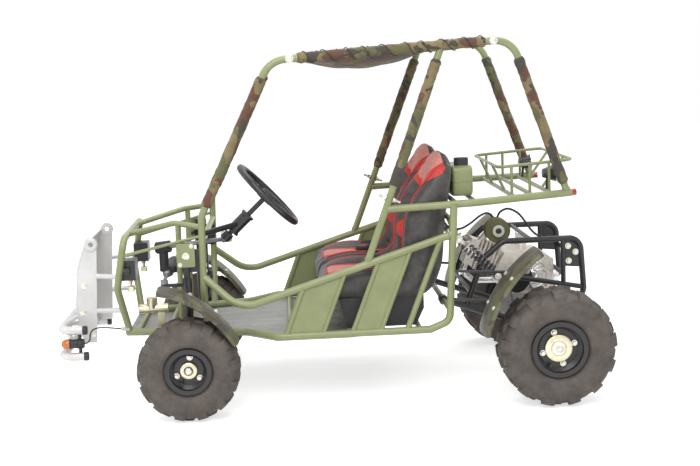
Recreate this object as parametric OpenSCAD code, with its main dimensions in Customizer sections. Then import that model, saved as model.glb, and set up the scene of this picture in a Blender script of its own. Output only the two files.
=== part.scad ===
// Two-seat off-road go-kart with a tube frame, roll cage and steered front wheels.
// Axes: +X forward, +Y to the driver's left, +Z up, Z = 0 on the ground, X = Y = 0 at the middle.
// Units are millimetres.

/* [Wheels] */
// Distance between the two axles
wheelbase = 1270; // [1230:5:1310]
// Front tyre outside diameter, to the tips of the lugs
front_tyre_d = 356; // [346:2:360]
// Front tyre width
front_tyre_w = 145; // [130:1:150]
// Distance between the middles of the front tyres
front_track = 910; // [900:2:930]
// Lugs in each of a front tyre's two rows
front_lugs = 13; // [12:1:14]
// Height of a front tyre's lugs
front_lug_h = 9; // [6:1:12]
// Front rim flange diameter
front_flange_d = 160; // [150:1:176]
// Rear tyre outside diameter, to the tips of the lugs
rear_tyre_d = 406; // [390:2:420]
// Rear tyre width
rear_tyre_w = 195; // [170:1:200]
// Distance between the middles of the rear tyres
rear_track = 960; // [950:2:980]
// Lugs in each of a rear tyre's two rows
rear_lugs = 13; // [12:1:14]
// Height of a rear tyre's lugs
rear_lug_h = 10; // [7:1:13]
// Rear rim flange diameter
rear_flange_d = 194; // [180:1:210]
// Depth of the wheel's disc behind the rim's outer edge
disc_recess = 34; // [26:1:40]
// Rear axle shaft diameter
axle_d = 30; // [24:1:34]
// Front spindle diameter
spindle_d = 18; // [14:1:22]

/* [Frame tubes] */
// Diameter of the sills, side rails, rack rails and roof rails
frame_d = 26; // [24:0.5:28]
// Diameter of the cage pillars
pillar_d = 25; // [22:0.5:26]
// Diameter of the cross tubes and the wide posts
post_d = 20; // [16:0.5:22]
// Diameter of the narrow posts at the panels' edges
edge_post_d = 16; // [12:0.5:18]
// Diameter of the thin stays and basket rods
rod_d = 11; // [8:0.5:14]
// Gap left at each welded or clamped seat
seat_gap = 0.3; // [0.2:0.05:0.5]

/* [Cabin] */
// Half the width of the cabin, to the axis of the side tubes
cabin_half_w = 400; // [392:1:420]
// Half the width of the roof, to the axis of the roof rails
roof_half_w = 352; // [340:1:370]
// Height of the sill's axis
sill_z = 262; // [256:1:270]
// Height of the roof rails at the front
roof_front_z = 1221; // [1190:1:1250]
// How much the roof rails rise to the rear
roof_rise = 35; // [20:1:45]
// Lean of the side posts, in mm back for each mm up
post_lean = 0.4; // [0.36:0.01:0.44]
// Thickness of the side panels
panel_t = 3; // [2:0.5:5]
// Thickness of the floor pan
pan_t = 3; // [2:0.5:5]
// Outside diameter of the padded sleeves
sleeve_d = 38; // [34:0.5:42]
// Depth of the roof cloth's sag
roof_sag = 45; // [25:1:60]

/* [Seats] */
// Width of one seat
seat_w = 352; // [330:1:354]
// Distance of each seat's middle from the middle of the kart
seat_y = 195; // [190:1:197]
// Width of one side bolster
bolster_w = 66; // [50:1:80]

/* [Steering] */
// Steering wheel outside diameter
wheel_d = 300; // [280:2:320]
// Thickness of the steering wheel's grip
grip_d = 24; // [20:1:28]
// Slope of the column below level
column_tilt = 43; // [41:0.5:45]
// Column shaft diameter
shaft_d = 18; // [14:0.5:20]
// Length of the steering arms, kingpin to tie rod
arm_l = 80; // [70:1:90]
// Distance of each kingpin from the middle of the kart
kingpin_y = 335; // [332:1:338]
// Running clearance on each side of a turning fit
run_gap = 0.15; // [0.1:0.05:0.4]

/* [Rear] */
// Half the width of the engine cage, to the axis of its hoops
cage_half_w = 205; // [195:1:215]
// Diameter of the cage and swing arm tubes
cage_d = 22; // [18:0.5:24]
// Half the width of the luggage basket
basket_half_w = 275; // [255:1:285]
// Diameter of the air filter
filter_d = 92; // [74:1:96]
// Outside diameter of the shock springs
spring_d = 44; // [38:1:48]
// Diameter of the spring wire
wire_d = 7; // [5:0.5:7.5]
// Turns of each spring
spring_turns = 7; // [5:1:8]
// Width of each rear mudguard
rear_guard_w = 165; // [140:1:170]
// Thickness of the mudguards
guard_t = 4; // [3:0.5:6]

/* [Front] */
// Distance from the front axle to the face of the bumper
front_overhang = 473; // [460:1:486]
// Diameter of the bumper bars
bumper_d = 30; // [26:1:32]
// Half the width of the bumper bars, to the axis of their ends
bumper_half_w = 300; // [285:1:315]
// Half the width of the front guard
guard_half_w = 210; // [200:1:215]
// Bore of the tie-down eyes in the front guard
eye_d = 18; // [14:1:22]
// Width of each front mudguard
front_guard_w = 135; // [110:1:140]

/* [Hidden] */
$fn = 48;
front_r = front_tyre_d / 2;
rear_r = rear_tyre_d / 2;
total_l = rear_r + wheelbase + front_overhang;
rx = rear_r - total_l / 2;
ax = rx + wheelbase;
cw = cabin_half_w;
rw = roof_half_w;
front_y = front_track / 2;
// A bend is this much fuller than its tube, and each straight runs this far into it
bend_grow = 0.3;
bend_lap = 1;
rear_y = rear_track / 2;
front_rim_w = front_tyre_w - 34;
rear_rim_w = rear_tyre_w - 40;
flange_h = 10;
// Share of a lug's place that its sloping wall takes
lug_draft = 0.05;

function unit(v) = v / norm(v);
function mix(p, q, t) = p + (q - p) * t;
function at_x(p, q, x) = mix(p, q, (x - p.x) / (q.x - p.x));
function at_z(p, q, z) = mix(p, q, (z - p.z) / (q.z - p.z));
function flip(p) = [p.x, -p.y, p.z];
function short_of(p, q, gap) = q - unit(q - p) * gap;
function turn_at(p, i) = acos(unit(p[i] - p[i - 1]) * unit(p[i + 1] - p[i]));
function trim_at(p, i, r) = i == 0 || i == len(p) - 1 ? 0 : r * tan(turn_at(p, i) / 2);
function lap_at(p, i, r) = i == 0 || i == len(p) - 1 ? 0 : trim_at(p, i, r) - bend_lap;
function bezier(a, b, c, d, t) =
    a * pow(1 - t, 3) + 3 * b * t * pow(1 - t, 2) + 3 * c * t * t * (1 - t) + d * pow(t, 3);
function curve(c, n) = [for (i = [0:n]) bezier(c[0], c[1], c[2], c[3], i / n)];
function along(p, i) = unit(p[min(i + 1, len(p) - 1)] - p[max(i - 1, 0)]);
function thick_line(p, t) = concat(
    p,
    [for (i = [len(p) - 1:-1:0]) p[i] + t * [along(p, i).y, -along(p, i).x]]
);

// Named points of the left side; the right side is mirrored.
sill_top_rear = [rx + 331, cw, 700];
sill_heel = [rx + 356, cw, sill_z + 28];
sill_rear = [rx + 425, cw, sill_z];
sill_bend = [ax - 308, cw, sill_z];
sill_neck = [ax - 200, 290, sill_z];
sill_nose = [ax + 60, 220, sill_z];
sill_front = [ax + 240, 192, sill_z];
sill_path = [sill_top_rear, sill_heel, sill_rear, sill_bend, sill_neck, sill_nose, sill_front];
rail_rear = at_z(sill_heel, sill_top_rear, 597);
seat_bar = at_z(sill_heel, sill_top_rear, 637);
rail_dip = [ax - 185, cw, 366];
a_bolt = [ax - 392, rw, roof_front_z];
c_bolt = [rx + 174, rw, roof_front_z + roof_rise];
a_top = at_x(a_bolt, c_bolt, ax - 323);
c_top = at_x(a_bolt, c_bolt, rx + 110);
a_foot = [ax - 62, 345, 690];
a_knee = [ax - 57, 337, 430];
a_base = at_x(sill_neck, sill_nose, ax - 55);
a_path = [a_bolt, a_top, a_foot, a_knee, a_base];
rail_front = at_z(a_foot, a_knee, 476);
dash_bar = at_z(a_foot, a_knee, 601);
rail_path = [rail_front, rail_dip, rail_rear];
b_foot = at_x(rail_dip, rail_rear, rx + 640);
b_head = at_x(a_bolt, c_bolt, rx + 353);
rack_front = at_z(b_foot, b_head, 691);
rack_bend = [sill_top_rear.x - 70, cw - 6, 702];
rack_rear = [rx - 96, 330, 716];
rack_path = [rack_front, rack_bend, rack_rear];
c_foot = at_x(rack_bend, rack_rear, rx - 82);
c_path = [c_bolt, c_top, c_foot];
nose_top = [ax + 221, 270, 612];
nose_knee = [ax + 254, 266, 433];
nose_base = at_x(sill_nose, sill_front, ax + 228);
nose_path = [nose_base, nose_knee, nose_top, flip(nose_top), flip(nose_knee), flip(nose_base)];
hood_nose = [nose_top.x, 140, nose_top.z];
hood_kink = [ax + 45, 212, 655];
hood_end = at_z(a_foot, a_knee, 652);
hood_path = [hood_nose, hood_kink, hood_end];
front_post_top = at_x(hood_kink, hood_end, ax + 30);
front_post_base = at_x(sill_neck, sill_nose, ax + 36);
sleeve_bore = pillar_d + 2 * seat_gap;

// Steering points
wheel_c = [ax - 294, 190, 740];
column_l = 226;
column_dir = [cos(column_tilt), 0, -sin(column_tilt)];
joint_c = wheel_c + column_dir * column_l;
gear_c = [ax + 100, 100, 553];
rack_x = ax + arm_l + 6;
rack_z = 464;
ball_r = 13;

// Posts of one side: foot x from the rear axle, diameter
post_foot = 0;
post_size = 1;
SIDE_POSTS = [[934, post_d], [804, edge_post_d], [700, edge_post_d], [601, edge_post_d], [508, post_d]];
function post_base(i) = [rx + SIDE_POSTS[i][post_foot], cw, sill_z];
function rail_hit(p) = p + [-post_lean, 0, 1] * (
    (rail_dip.z - p.z + (rail_rear.z - rail_dip.z) * (p.x - rail_dip.x) / (rail_rear.x - rail_dip.x))
    / (1 + post_lean * (rail_rear.z - rail_dip.z) / (rail_rear.x - rail_dip.x)));
function post_head(i) = rail_hit(post_base(i));
// Panels of one side: front post, rear post
PANELS = [[0, 1], [2, 3]];

// Straight cross tubes on the sills: x, height above the sill's axis
cross_x = 0;
cross_lift = 1;
FLOOR_CROSS = [[rx + 460, -3], [rx + 705, -3], [rx + 915, -3]];
// Ribbed bays of the floor: rear end, front end, pitch of the ribs
PAN_BAYS = [[rx + 730, rx + 890, 120], [rx + 940, ax - 40, 78]];
rib_d = 11;
// Rack bars: x
RACK_BARS = [rx + 318, rx + 250, rx + 105, rx + 40, rx - 30];
// Uprights of the basket: x, y
UPRIGHTS = [[rx + 105, 0.5], [rx + 105, 1], [rx + 40, 1], [rx - 30, 1], [rx - 30, 0.5]];
basket_front = [rx + 152, basket_half_w, 810];
basket_rear = [rx - 114, basket_half_w, 828];
basket_path = [
    [basket_front.x, 0, basket_front.z], basket_front, basket_rear, [basket_rear.x, 0, basket_rear.z]
];

// Rear points
pivot_c = at_z(sill_heel, sill_top_rear, 328);
cage_lift = rear_r + 330;
arm_front = [pivot_c.x, cage_half_w, pivot_c.z];
arm_rear = [rx, cage_half_w, rear_r];
cage_low_front = mix(arm_front, arm_rear, 0.24);
cage_low_rear = [rx - 26, cage_half_w, rear_r + 14];
cage_path = [
    cage_low_front,
    [rx + 205, cage_half_w, 470],
    [rx + 130, cage_half_w, cage_lift],
    [rx - 155, cage_half_w, cage_lift],
    [rx - 168, cage_half_w, 330],
    cage_low_rear
];
mid_front = at_z(cage_path[0], cage_path[1], 425);
mid_rear = at_z(cage_path[3], cage_path[4], 350);
inner_x = rx - 92;
inner_low = at_x(mid_front, mid_rear, inner_x);
crank_c = [rx + 2, 392];
drive_c = [rx + 70, 372];
chain_y = 141;
chain_w = 9;
gear_r = 66;
pinion_r = 24;
chain_pitch = 12.7;
rear_lamp_y = 228;
carb_y0 = 4;
carb_w = 40;
head_tilt = 68;
carrier_d = 74;
shock_out = 40;
guard_rod_in = 7.5;
shock_y = cage_half_w + shock_out;
shock_top = [rx + 298, shock_y, 556];
shock_low = at_x(mid_front, mid_rear, rx + 158) + [0, shock_out, 0];

// Front points
bumper_x = ax + front_overhang - bumper_d / 2;
upper_bar_z = 298;
lower_bar_z = 204;
guard_edge = [[ax + 389, 232], [ax + 412, 352], [ax + 405, 430], [ax + 399, 505], [ax + 367, 590]];
eye_c = [ax + 346, 590];
guard_back = [ax + 346, 232];
front_curve = curve([[ax + 92, 462], [ax, 452], [ax - 100, 390], [ax - 174, 268]], 16);
rear_curve = curve([[rx + 58, 546], [rx + 132, 498], [rx + 228, 398], [rx + 258, 258]], 16);

army = [0.36, 0.42, 0.27];
black = [0.08, 0.08, 0.09];
silver = [0.75, 0.76, 0.77];
camo = [0.42, 0.36, 0.24];
tyre_black = [0.05, 0.05, 0.05];

// A straight tube between two points
module run(p, q, d) {
    v = q - p;
    translate(p)
        rotate([0, acos(v.z / norm(v)), atan2(v.y, v.x)])
            cylinder(d = d, h = norm(v));
}

// A tube along a path, with a round bend at each inner point
module bent(p, r, d) {
    for (i = [0:len(p) - 2]) {
        u = unit(p[i + 1] - p[i]);
        run(p[i] + u * lap_at(p, i, r), p[i + 1] - u * lap_at(p, i + 1, r), d);
    }
    for (i = [1:len(p) - 2]) {
        u = unit(p[i] - p[i - 1]);
        v = unit(p[i + 1] - p[i]);
        n = unit(v - u * (u * v));
        c = p[i] - u * trim_at(p, i, r) + n * r;
        w = cross(-n, u);
        multmatrix([
            [-n.x, u.x, w.x, c.x],
            [-n.y, u.y, w.y, c.y],
            [-n.z, u.z, w.z, c.z],
            [0, 0, 0, 1]
        ])
            rotate_extrude(angle = turn_at(p, i))
                translate([r, 0])
                    circle(d = d + bend_grow);
    }
}

// The same piece on both sides
module both() {
    children();
    mirror([0, 1, 0]) children();
}

// A straight lateral tube from side to side
module lateral(p, d) {
    run([p.x, -p.y, p.z], p, d);
}

// A shape drawn in x and z, given a width along y from y0
module side_plate(points, y0, w) {
    translate([0, y0 + w, 0])
        rotate([90, 0, 0])
            linear_extrude(height = w)
                polygon(points);
}

// A body of revolution about a lateral axis, drawn as radius and y
module lathe_y(c, points) {
    translate(c)
        rotate([-90, 0, 0])
            rotate_extrude()
                polygon(points);
}

module disc_y(x, y0, z, d, w) {
    translate([x, y0, z])
        rotate([-90, 0, 0])
            cylinder(d = d, h = w);
}

module on_column() {
    translate(wheel_c)
        rotate([0, 90 + column_tilt, 0])
            children();
}

module a_pillar(d) {
    bent(a_path, 95, d);
}

module sill(d) {
    bent(sill_path, 38, d);
}

module sill_tubes() {
    color(army)
        both()
            difference() {
                sill(frame_d);
                run(rack_front, rack_bend, frame_d + 2 * seat_gap);
            }
}

module cross_tubes() {
    color(army) {
        for (row = FLOOR_CROSS)
            difference() {
                lateral([row[cross_x], cw, sill_z + row[cross_lift]], post_d);
                both() run(sill_rear + [-20, 0, 0], sill_bend, frame_d);
            }
        difference() {
            lateral(at_x(sill_nose, sill_front, ax + 86) + [0, 0, -3], post_d);
            both() run(sill_nose, sill_front, frame_d);
        }
        difference() {
            lateral(at_x(sill_nose, sill_front, ax + 200) + [0, 0, -3], post_d);
            both() run(sill_nose, sill_front, frame_d);
        }
        difference() {
            lateral(pivot_c, post_d);
            both() run(sill_heel, sill_top_rear, frame_d);
        }
        difference() {
            lateral(seat_bar, post_d);
            both() run(sill_heel, sill_top_rear, frame_d);
        }
        for (x = RACK_BARS)
            difference() {
                lateral(
                    x > rack_bend.x ? at_x(rack_front, rack_bend, x) : at_x(rack_bend, rack_rear, x),
                    edge_post_d
                );
                both() bent(rack_path, 120, frame_d);
            }
        for (p = [mix(a_bolt, c_bolt, 0.02), mix(a_bolt, c_bolt, 0.98)])
            difference() {
                lateral(p, post_d);
                both() run(a_bolt, c_bolt, frame_d);
            }
        difference() {
            lateral(dash_bar, post_d);
            both() run(a_foot, a_knee, pillar_d);
        }
        difference() {
            lateral(at_z(front_post_base, front_post_top, rack_z), edge_post_d);
            both() run(front_post_base, front_post_top, post_d);
        }
    }
}

module floor_pan() {
    pan = [
        [rx + 690, cw - 4], [sill_bend.x, cw - 4], [sill_neck.x, sill_neck.y - 4],
        [sill_nose.x, sill_nose.y - 4], [sill_front.x, sill_front.y - 4]
    ];
    top = sill_z - frame_d / 2;
    color([0.62, 0.63, 0.62]) {
        translate([0, 0, top - pan_t])
            linear_extrude(height = pan_t)
                polygon(concat(pan, [for (i = [len(pan) - 1:-1:0]) [pan[i].x, -pan[i].y]]));
        for (bay = PAN_BAYS, y = [-2.5:1:2.5])
            run([bay[0], y * bay[2], top - 1.5], [bay[1], y * bay[2], top - 1.5], rib_d);
    }
}

module side_rails() {
    color(army)
        both()
            difference() {
                bent(
                    [short_of(rail_dip, rail_front, 5), rail_dip, short_of(rail_dip, rail_rear, 5)],
                    110, frame_d
                );
                run(a_foot, a_knee, pillar_d);
                run(sill_heel, sill_top_rear, frame_d);
            }
}

module side_post(i, d) {
    run(post_base(i), post_head(i), d);
}

module frame_posts() {
    color(army)
        both() {
            for (i = [0:len(SIDE_POSTS) - 1])
                difference() {
                    side_post(i, SIDE_POSTS[i][post_size]);
                    run(sill_rear + [-20, 0, 0], sill_bend + [20, 0, 0], frame_d);
                    run(rail_dip, rail_rear, frame_d);
                }
            difference() {
                run(front_post_base, front_post_top, post_d);
                run(sill_neck, sill_nose, frame_d);
                run(hood_kink, hood_end, post_d + 1);
            }
        }
}

module side_panels() {
    color(army)
        both()
            for (row = PANELS)
                difference() {
                    side_plate(
                        [
                            for (p = [
                                post_base(row[0]), post_base(row[1]), post_head(row[1]), post_head(row[0])
                            ])
                                [p.x, p.z]
                        ],
                        cw - panel_t / 2, panel_t
                    );
                    for (i = row) side_post(i, SIDE_POSTS[i][post_size]);
                    run(sill_rear, sill_bend + [20, 0, 0], frame_d);
                    run(rail_dip + (rail_dip - rail_rear) * 0.2, rail_rear, frame_d);
                }
}

module rack_rails() {
    color(army)
        both()
            difference() {
                bent([short_of(rack_bend, rack_front, 5), rack_bend, rack_rear], 120, frame_d);
                run(b_foot, b_head, pillar_d);
            }
}

module roll_pillars() {
    color(army)
        both() {
            difference() {
                a_pillar(pillar_d);
                run(sill_neck, sill_nose, frame_d);
            }
            difference() {
                run(b_foot, b_head, pillar_d);
                run(rail_dip, rail_rear, frame_d);
                run(a_bolt, c_bolt, frame_d);
            }
            difference() {
                bent(c_path, 85, pillar_d);
                run(rack_bend, rack_rear, frame_d);
            }
        }
}

module roof_rails() {
    color(army)
        both()
            run(a_bolt, c_bolt, frame_d);
}

module sleeve(p, q, bore) {
    difference() {
        run(p, q, sleeve_d);
        run(p - unit(q - p), q + unit(q - p), bore);
    }
}

module tube_sleeves() {
    color(camo)
        both() {
            sleeve(at_z(a_foot, a_top, 724), at_z(a_foot, a_top, a_top.z - 58), sleeve_bore);
            sleeve(at_z(b_foot, b_head, 772), at_z(b_foot, b_head, b_head.z - 48), sleeve_bore);
            sleeve(at_z(c_foot, c_top, 752), at_z(c_foot, c_top, c_top.z - 64), sleeve_bore);
            difference() {
                sleeve(mix(a_bolt, c_bolt, 0.04), mix(a_bolt, c_bolt, 0.96), frame_d + 2 * seat_gap);
                run(b_foot, b_head, pillar_d + 2 * seat_gap);
            }
        }
}

module roof_cover() {
    inner = rw - sleeve_d / 2 - seat_gap;
    p = mix(a_bolt, c_bolt, 0.04);
    q = mix(a_bolt, c_bolt, 0.96);
    sag = curve(
        [
            [p.x, p.z], [p.x - 160, p.z - roof_sag],
            [b_head.x + 160, b_head.z - roof_sag], [b_head.x, b_head.z]
        ],
        14
    );
    color(camo)
        side_plate(thick_line(concat(sag, [[q.x, q.z]]), 5), -inner, 2 * inner);
}

module nose_hoop() {
    color(army)
        difference() {
            bent(nose_path, 46, pillar_d);
            both() run(sill_nose, sill_front, frame_d);
        }
}

module hood_rails() {
    color(army)
        both() {
            difference() {
                bent(hood_path, 60, post_d);
                run(nose_top, flip(nose_top), pillar_d);
                run(a_foot, a_knee, pillar_d);
            }
            difference() {
                run(mix(nose_knee, nose_top, 0.66), at_z(a_foot, a_knee, 622), rod_d);
                run(nose_knee, nose_top, pillar_d);
                run(a_foot, a_knee, pillar_d);
            }
        }
}

module front_suspension() {
    strut_low = 400;
    boss_z = front_r - 60;
    clamp_p = at_z(a_foot, a_knee, 534);
    color(black)
        both() {
            difference() {
                union() {
                    translate([ax, kingpin_y, 476])
                        cylinder(d = 24, h = 122);
                    translate([ax, kingpin_y, strut_low])
                        cylinder(d = 14, h = 90);
                    translate([clamp_p.x - 8, clamp_p.y - pillar_d / 2 - 5, 494])
                        cube([ax + 22 - clamp_p.x, 12, 80]);
                    run([ax + 6, kingpin_y - 8, 550], at_z(front_post_base, front_post_top, 550), 12);
                }
                run(a_foot, a_knee, pillar_d + 2 * seat_gap);
                run(front_post_base, front_post_top, post_d);
            }
            difference() {
                union() {
                    translate([ax, kingpin_y, boss_z - 22])
                        cylinder(d = 32, h = 22);
                    translate([ax, kingpin_y, boss_z - 10])
                        cylinder(d = 14, h = 40);
                    run([ax, kingpin_y - 8, boss_z - 11], [ax, kingpin_y - 44, boss_z - 11], 20);
                    disc_y(ax, kingpin_y - 68, boss_z - 11, 36, 44);
                    run(at_x(sill_neck, sill_nose, ax - 110), [ax, kingpin_y - 44, boss_z - 11], 16);
                    run(at_x(sill_nose, sill_front, ax + 96), [ax, kingpin_y - 44, boss_z - 11], 16);
                }
                run(sill_neck, sill_nose, frame_d);
                run(sill_nose, sill_front, frame_d);
            }
        }
}

module column_mount() {
    color(black)
        difference() {
            union() {
                on_column() {
                    translate([0, 0, 104]) cylinder(d = 44, h = 78);
                    translate([0, 0, 100]) cylinder(d = 52, h = 8);
                    translate([0, 0, 178]) cylinder(d = 52, h = 8);
                }
                run(at_z(a_foot, a_knee, 628), wheel_c + column_dir * 146, post_d);
            }
            on_column() translate([0, 0, 90]) cylinder(d = shaft_d + 2 * run_gap, h = 110);
            run(a_foot, a_knee, pillar_d);
        }
}

module front_guard() {
    cheek = concat([guard_back], guard_edge, [[eye_c.x + 20, eye_c.y], [eye_c.x - 20, eye_c.y]]);
    color(silver)
        difference() {
            union() {
                side_plate(thick_line(guard_edge, 3), -guard_half_w, 2 * guard_half_w);
                both() {
                    side_plate(cheek, guard_half_w - 4, 4);
                    disc_y(eye_c.x, guard_half_w - 8, eye_c.y, 48, 12);
                }
            }
            both() disc_y(eye_c.x, guard_half_w - 20, eye_c.y, eye_d, 40);
        }
}

module guard_stays() {
    color(silver)
        both() {
            for (z = [350, 478])
                difference() {
                    run(
                        z < nose_knee.z ? at_z(nose_base, nose_knee, z) : at_z(nose_knee, nose_top, z),
                        [ax + 354, guard_half_w - 2, z - 2], 18
                    );
                    side_plate(
                        [
                            [guard_back.x - seat_gap, guard_back.y], [eye_c.x - 20 - seat_gap, eye_c.y],
                            [eye_c.x + 60, eye_c.y], [guard_back.x + 60, guard_back.y]
                        ],
                        0, 400
                    );
                    run(nose_base, nose_knee, pillar_d);
                    run(nose_knee, nose_top, pillar_d);
                }
            difference() {
                run([bumper_x, 120, lower_bar_z], [bumper_x, 120, upper_bar_z], 18);
                lateral([bumper_x, 200, lower_bar_z], bumper_d);
                lateral([bumper_x, 200, upper_bar_z], bumper_d);
            }
            difference() {
                union() {
                    run([ax + 407, 170, upper_bar_z], [bumper_x, 170, upper_bar_z], 18);
                    run([ax + 392, 203, 344], [bumper_x, 196, upper_bar_z + 2], 18);
                }
                lateral([bumper_x, 220, upper_bar_z], bumper_d);
                side_plate(
                    concat(
                        [[ax + 300, guard_edge[0].y]],
                        [for (p = guard_edge) p + [3 + seat_gap, 0]],
                        [[ax + 300, eye_c.y]]
                    ),
                    0, 400
                );
            }
        }
}

module bumper_bars() {
    color(silver)
        for (z = [lower_bar_z, upper_bar_z])
            bent(
                [
                    [bumper_x - 84, bumper_half_w, z], [bumper_x, bumper_half_w, z],
                    [bumper_x, -bumper_half_w, z], [bumper_x - 84, -bumper_half_w, z]
                ],
                48, bumper_d
            );
}

module headlamps() {
    lamp_x = ax + 188;
    color(black)
        both() {
            difference() {
                translate([lamp_x, 176, 460]) cube([54, 76, 72]);
                translate([lamp_x + 44, 182, 466]) cube([12, 64, 60]);
            }
            difference() {
                translate([lamp_x + 20, 250, 484]) cube([20, 20, 24]);
                run(nose_knee, nose_top, pillar_d + 2 * seat_gap);
            }
            difference() {
                run([lamp_x + 20, 262, 496], at_z(nose_knee, nose_top, 496), 14);
                run(nose_knee, nose_top, pillar_d);
            }
        }
}

module lamp_lenses() {
    color([0.85, 0.87, 0.88])
        both() {
            translate([ax + 188 + 44 + seat_gap, 182 + seat_gap, 466 + seat_gap])
                cube([8, 64 - 2 * seat_gap, 60 - 2 * seat_gap]);
            translate([rx - 62, rear_lamp_y, 778])
                rotate([0, -90, 0])
                    cylinder(d = 56, h = 6);
        }
}

module indicator_bodies() {
    x = bumper_x - 66;
    color(black)
        both() {
            difference() {
                run([x, bumper_half_w, lower_bar_z], [x, bumper_half_w, upper_bar_z], 12);
                for (z = [lower_bar_z, upper_bar_z])
                    run([x - 40, bumper_half_w, z], [x + 18, bumper_half_w, z], bumper_d);
            }
            run([x - 14, bumper_half_w, 251], [x + 36, bumper_half_w, 251], 32);
        }
}

module indicator_lenses() {
    x = bumper_x - 30;
    color([0.95, 0.45, 0.05])
        both()
            run([x + seat_gap, bumper_half_w, 251], [x + 30, bumper_half_w, 251], 36);
}

module seat_bases() {
    color(black)
        for (y = [-seat_y, seat_y])
            side_plate(
                [
                    [rx + 470, sill_z + 7 + seat_gap], [rx + 718, sill_z + 7 + seat_gap],
                    [rx + 734, 376], [rx + 440, 376], [rx + 440, 330]
                ],
                y - 150, 300
            );
}

module seat(y) {
    middle = [
        [424, 376.3], [806, 376.3], [812, 400], [812, 434], [794, 450], [716, 458], [570, 440],
        [488, 440], [470, 470], [425, 640], [384, 866], [350, 886], [328, 850], [356, 656]
    ];
    side = [
        [424, 376.3], [800, 376.3], [808, 436], [712, 478], [574, 474], [526, 492], [519, 555],
        [495, 653], [482, 704], [432, 766], [372, 840], [329, 845], [356, 656]
    ];
    union() {
        side_plate(
            [for (p = middle) [rx + p.x, p.y]],
            y - seat_w / 2 + bolster_w - 1, seat_w - 2 * bolster_w + 2
        );
        for (s = [-1, 1])
            side_plate(
                [for (p = side) [rx + p.x, p.y]],
                y + s * (seat_w - bolster_w) / 2 - bolster_w / 2, bolster_w
            );
    }
}

module left_seat() {
    color([0.12, 0.1, 0.1]) seat(seat_y);
}

module right_seat() {
    color([0.12, 0.1, 0.1]) seat(-seat_y);
}

module fuel_tank() {
    low = at_x(rack_bend, rack_rear, rx + 250).z + edge_post_d / 2 + seat_gap;
    color(army)
        side_plate(
            [
                [rx + 322, low], [rx + 322, 790], [rx + 312, 812], [rx + 296, 822],
                [rx + 268, 822], [rx + 252, 812], [rx + 243, 790], [rx + 243, low]
            ],
            60, 230
        );
}

module tank_cap() {
    color(black)
        translate([rx + 282, 250, 822 + seat_gap])
            cylinder(d = 50, h = 26);
}

module basket_ring() {
    color(army)
        both()
            bent(basket_path, 34, rod_d);
}

module basket_uprights() {
    color(army)
        both()
            for (row = UPRIGHTS) {
                low = at_x(rack_bend, rack_rear, row[0]);
                edge = row[1] == 1;
                x = edge ? row[0] : (row[0] > rx + 60 ? basket_front.x : basket_rear.x);
                top = edge
                    ? at_x(basket_front, basket_rear, x)
                    : [x, 0, x > rx ? basket_front.z : basket_rear.z];
                y = basket_half_w * row[1];
                difference() {
                    run([row[0], y, low.z], [x, y, top.z], rod_d - 1);
                    lateral([low.x, low.y, low.z], edge_post_d);
                    if (edge) run(basket_front, basket_rear, rod_d);
                    else lateral([x, 200, top.z], rod_d);
                }
            }
}

module rear_lamps() {
    c = [rx - 16, rear_lamp_y, 778];
    stem = at_x(rack_bend, rack_rear, rx - 30);
    color(black)
        both() {
            translate(c)
                rotate([0, -90, 0])
                    cylinder(d1 = 30, d2 = 62, h = 46 - seat_gap);
            difference() {
                run([stem.x, c.y, stem.z], [stem.x - 4, c.y, c.z - 12], 10);
                lateral(stem, edge_post_d);
            }
        }
}

module tail_lamps() {
    back = unit(rack_rear - rack_bend);
    color([0.7, 0.05, 0.04])
        both()
            run(rack_rear + back * seat_gap, rack_rear + back * 16, 24);
}

module engine() {
    fins = 6;
    fin_gap = 14;
    bar_front = inner_x + cage_d / 2 + seat_gap;
    block = [
        [bar_front, 330], [bar_front + 20, 314], [rx + 100, 314], [rx + 128, 350], [rx + 132, 420],
        [rx + 104, 470], [rx + 30, 476], [rx - 40, 466], [bar_front, 440]
    ];
    color([0.7, 0.71, 0.72]) {
        side_plate(block, -92, 184);
        disc_y(crank_c.x, 91, crank_c.y, 152, 24);
        disc_y(crank_c.x, 114, crank_c.y, 104, 10);
        disc_y(crank_c.x, -118, crank_c.y, 150, 28);
        disc_y(drive_c.x, 91, drive_c.y, 26, chain_y - 90);
        disc_y(drive_c.x, chain_y - 3, drive_c.y, 2 * pinion_r, 6);
        run([rx + 208, 24, 486], [rx + 146, 24, 552], 26);
        translate([rx + 114, carb_y0, 540]) cube([38, carb_w, 42]);
        translate([rx + 90, 0, 420])
            rotate([0, head_tilt, 0]) {
                cylinder(d = 84, h = 128);
                for (i = [0:fins - 1])
                    translate([-58, -58, 42 + i * fin_gap]) cube([116, 116, 6]);
                translate([-50, -50, 124]) cube([100, 100, 34]);
            }
        for (y = [-40, 40])
            difference() {
                translate([rx + 12, y - 4, 460]) cube([26, 8, cage_lift - 460]);
                lateral([rx + 25, 100, cage_lift], cage_d);
            }
    }
}

module air_filter() {
    c = [rx + 132, 560];
    color([0.42, 0.4, 0.24]) {
        disc_y(c.x, 70, c.y, filter_d, 56);
        disc_y(c.x, 120, c.y, 46, 14);
        disc_y(c.x, carb_y0 + carb_w + seat_gap, c.y, 34, 30);
    }
}

module exhaust() {
    head_axis = [sin(head_tilt), 0, cos(head_tilt)];
    head_down = [cos(head_tilt), 0, -sin(head_tilt)];
    port = [rx + 90, 0, 420] + head_axis * 140 + head_down * (50 + seat_gap);
    color(silver) {
        bent([port, port + head_down * 35, [rx + 190, -140, 330], [rx - 40, -155, 320]], 28, 24);
        run([rx - 38, -155, 320], [rx - 150, -155, 330], 60);
    }
}

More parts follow.
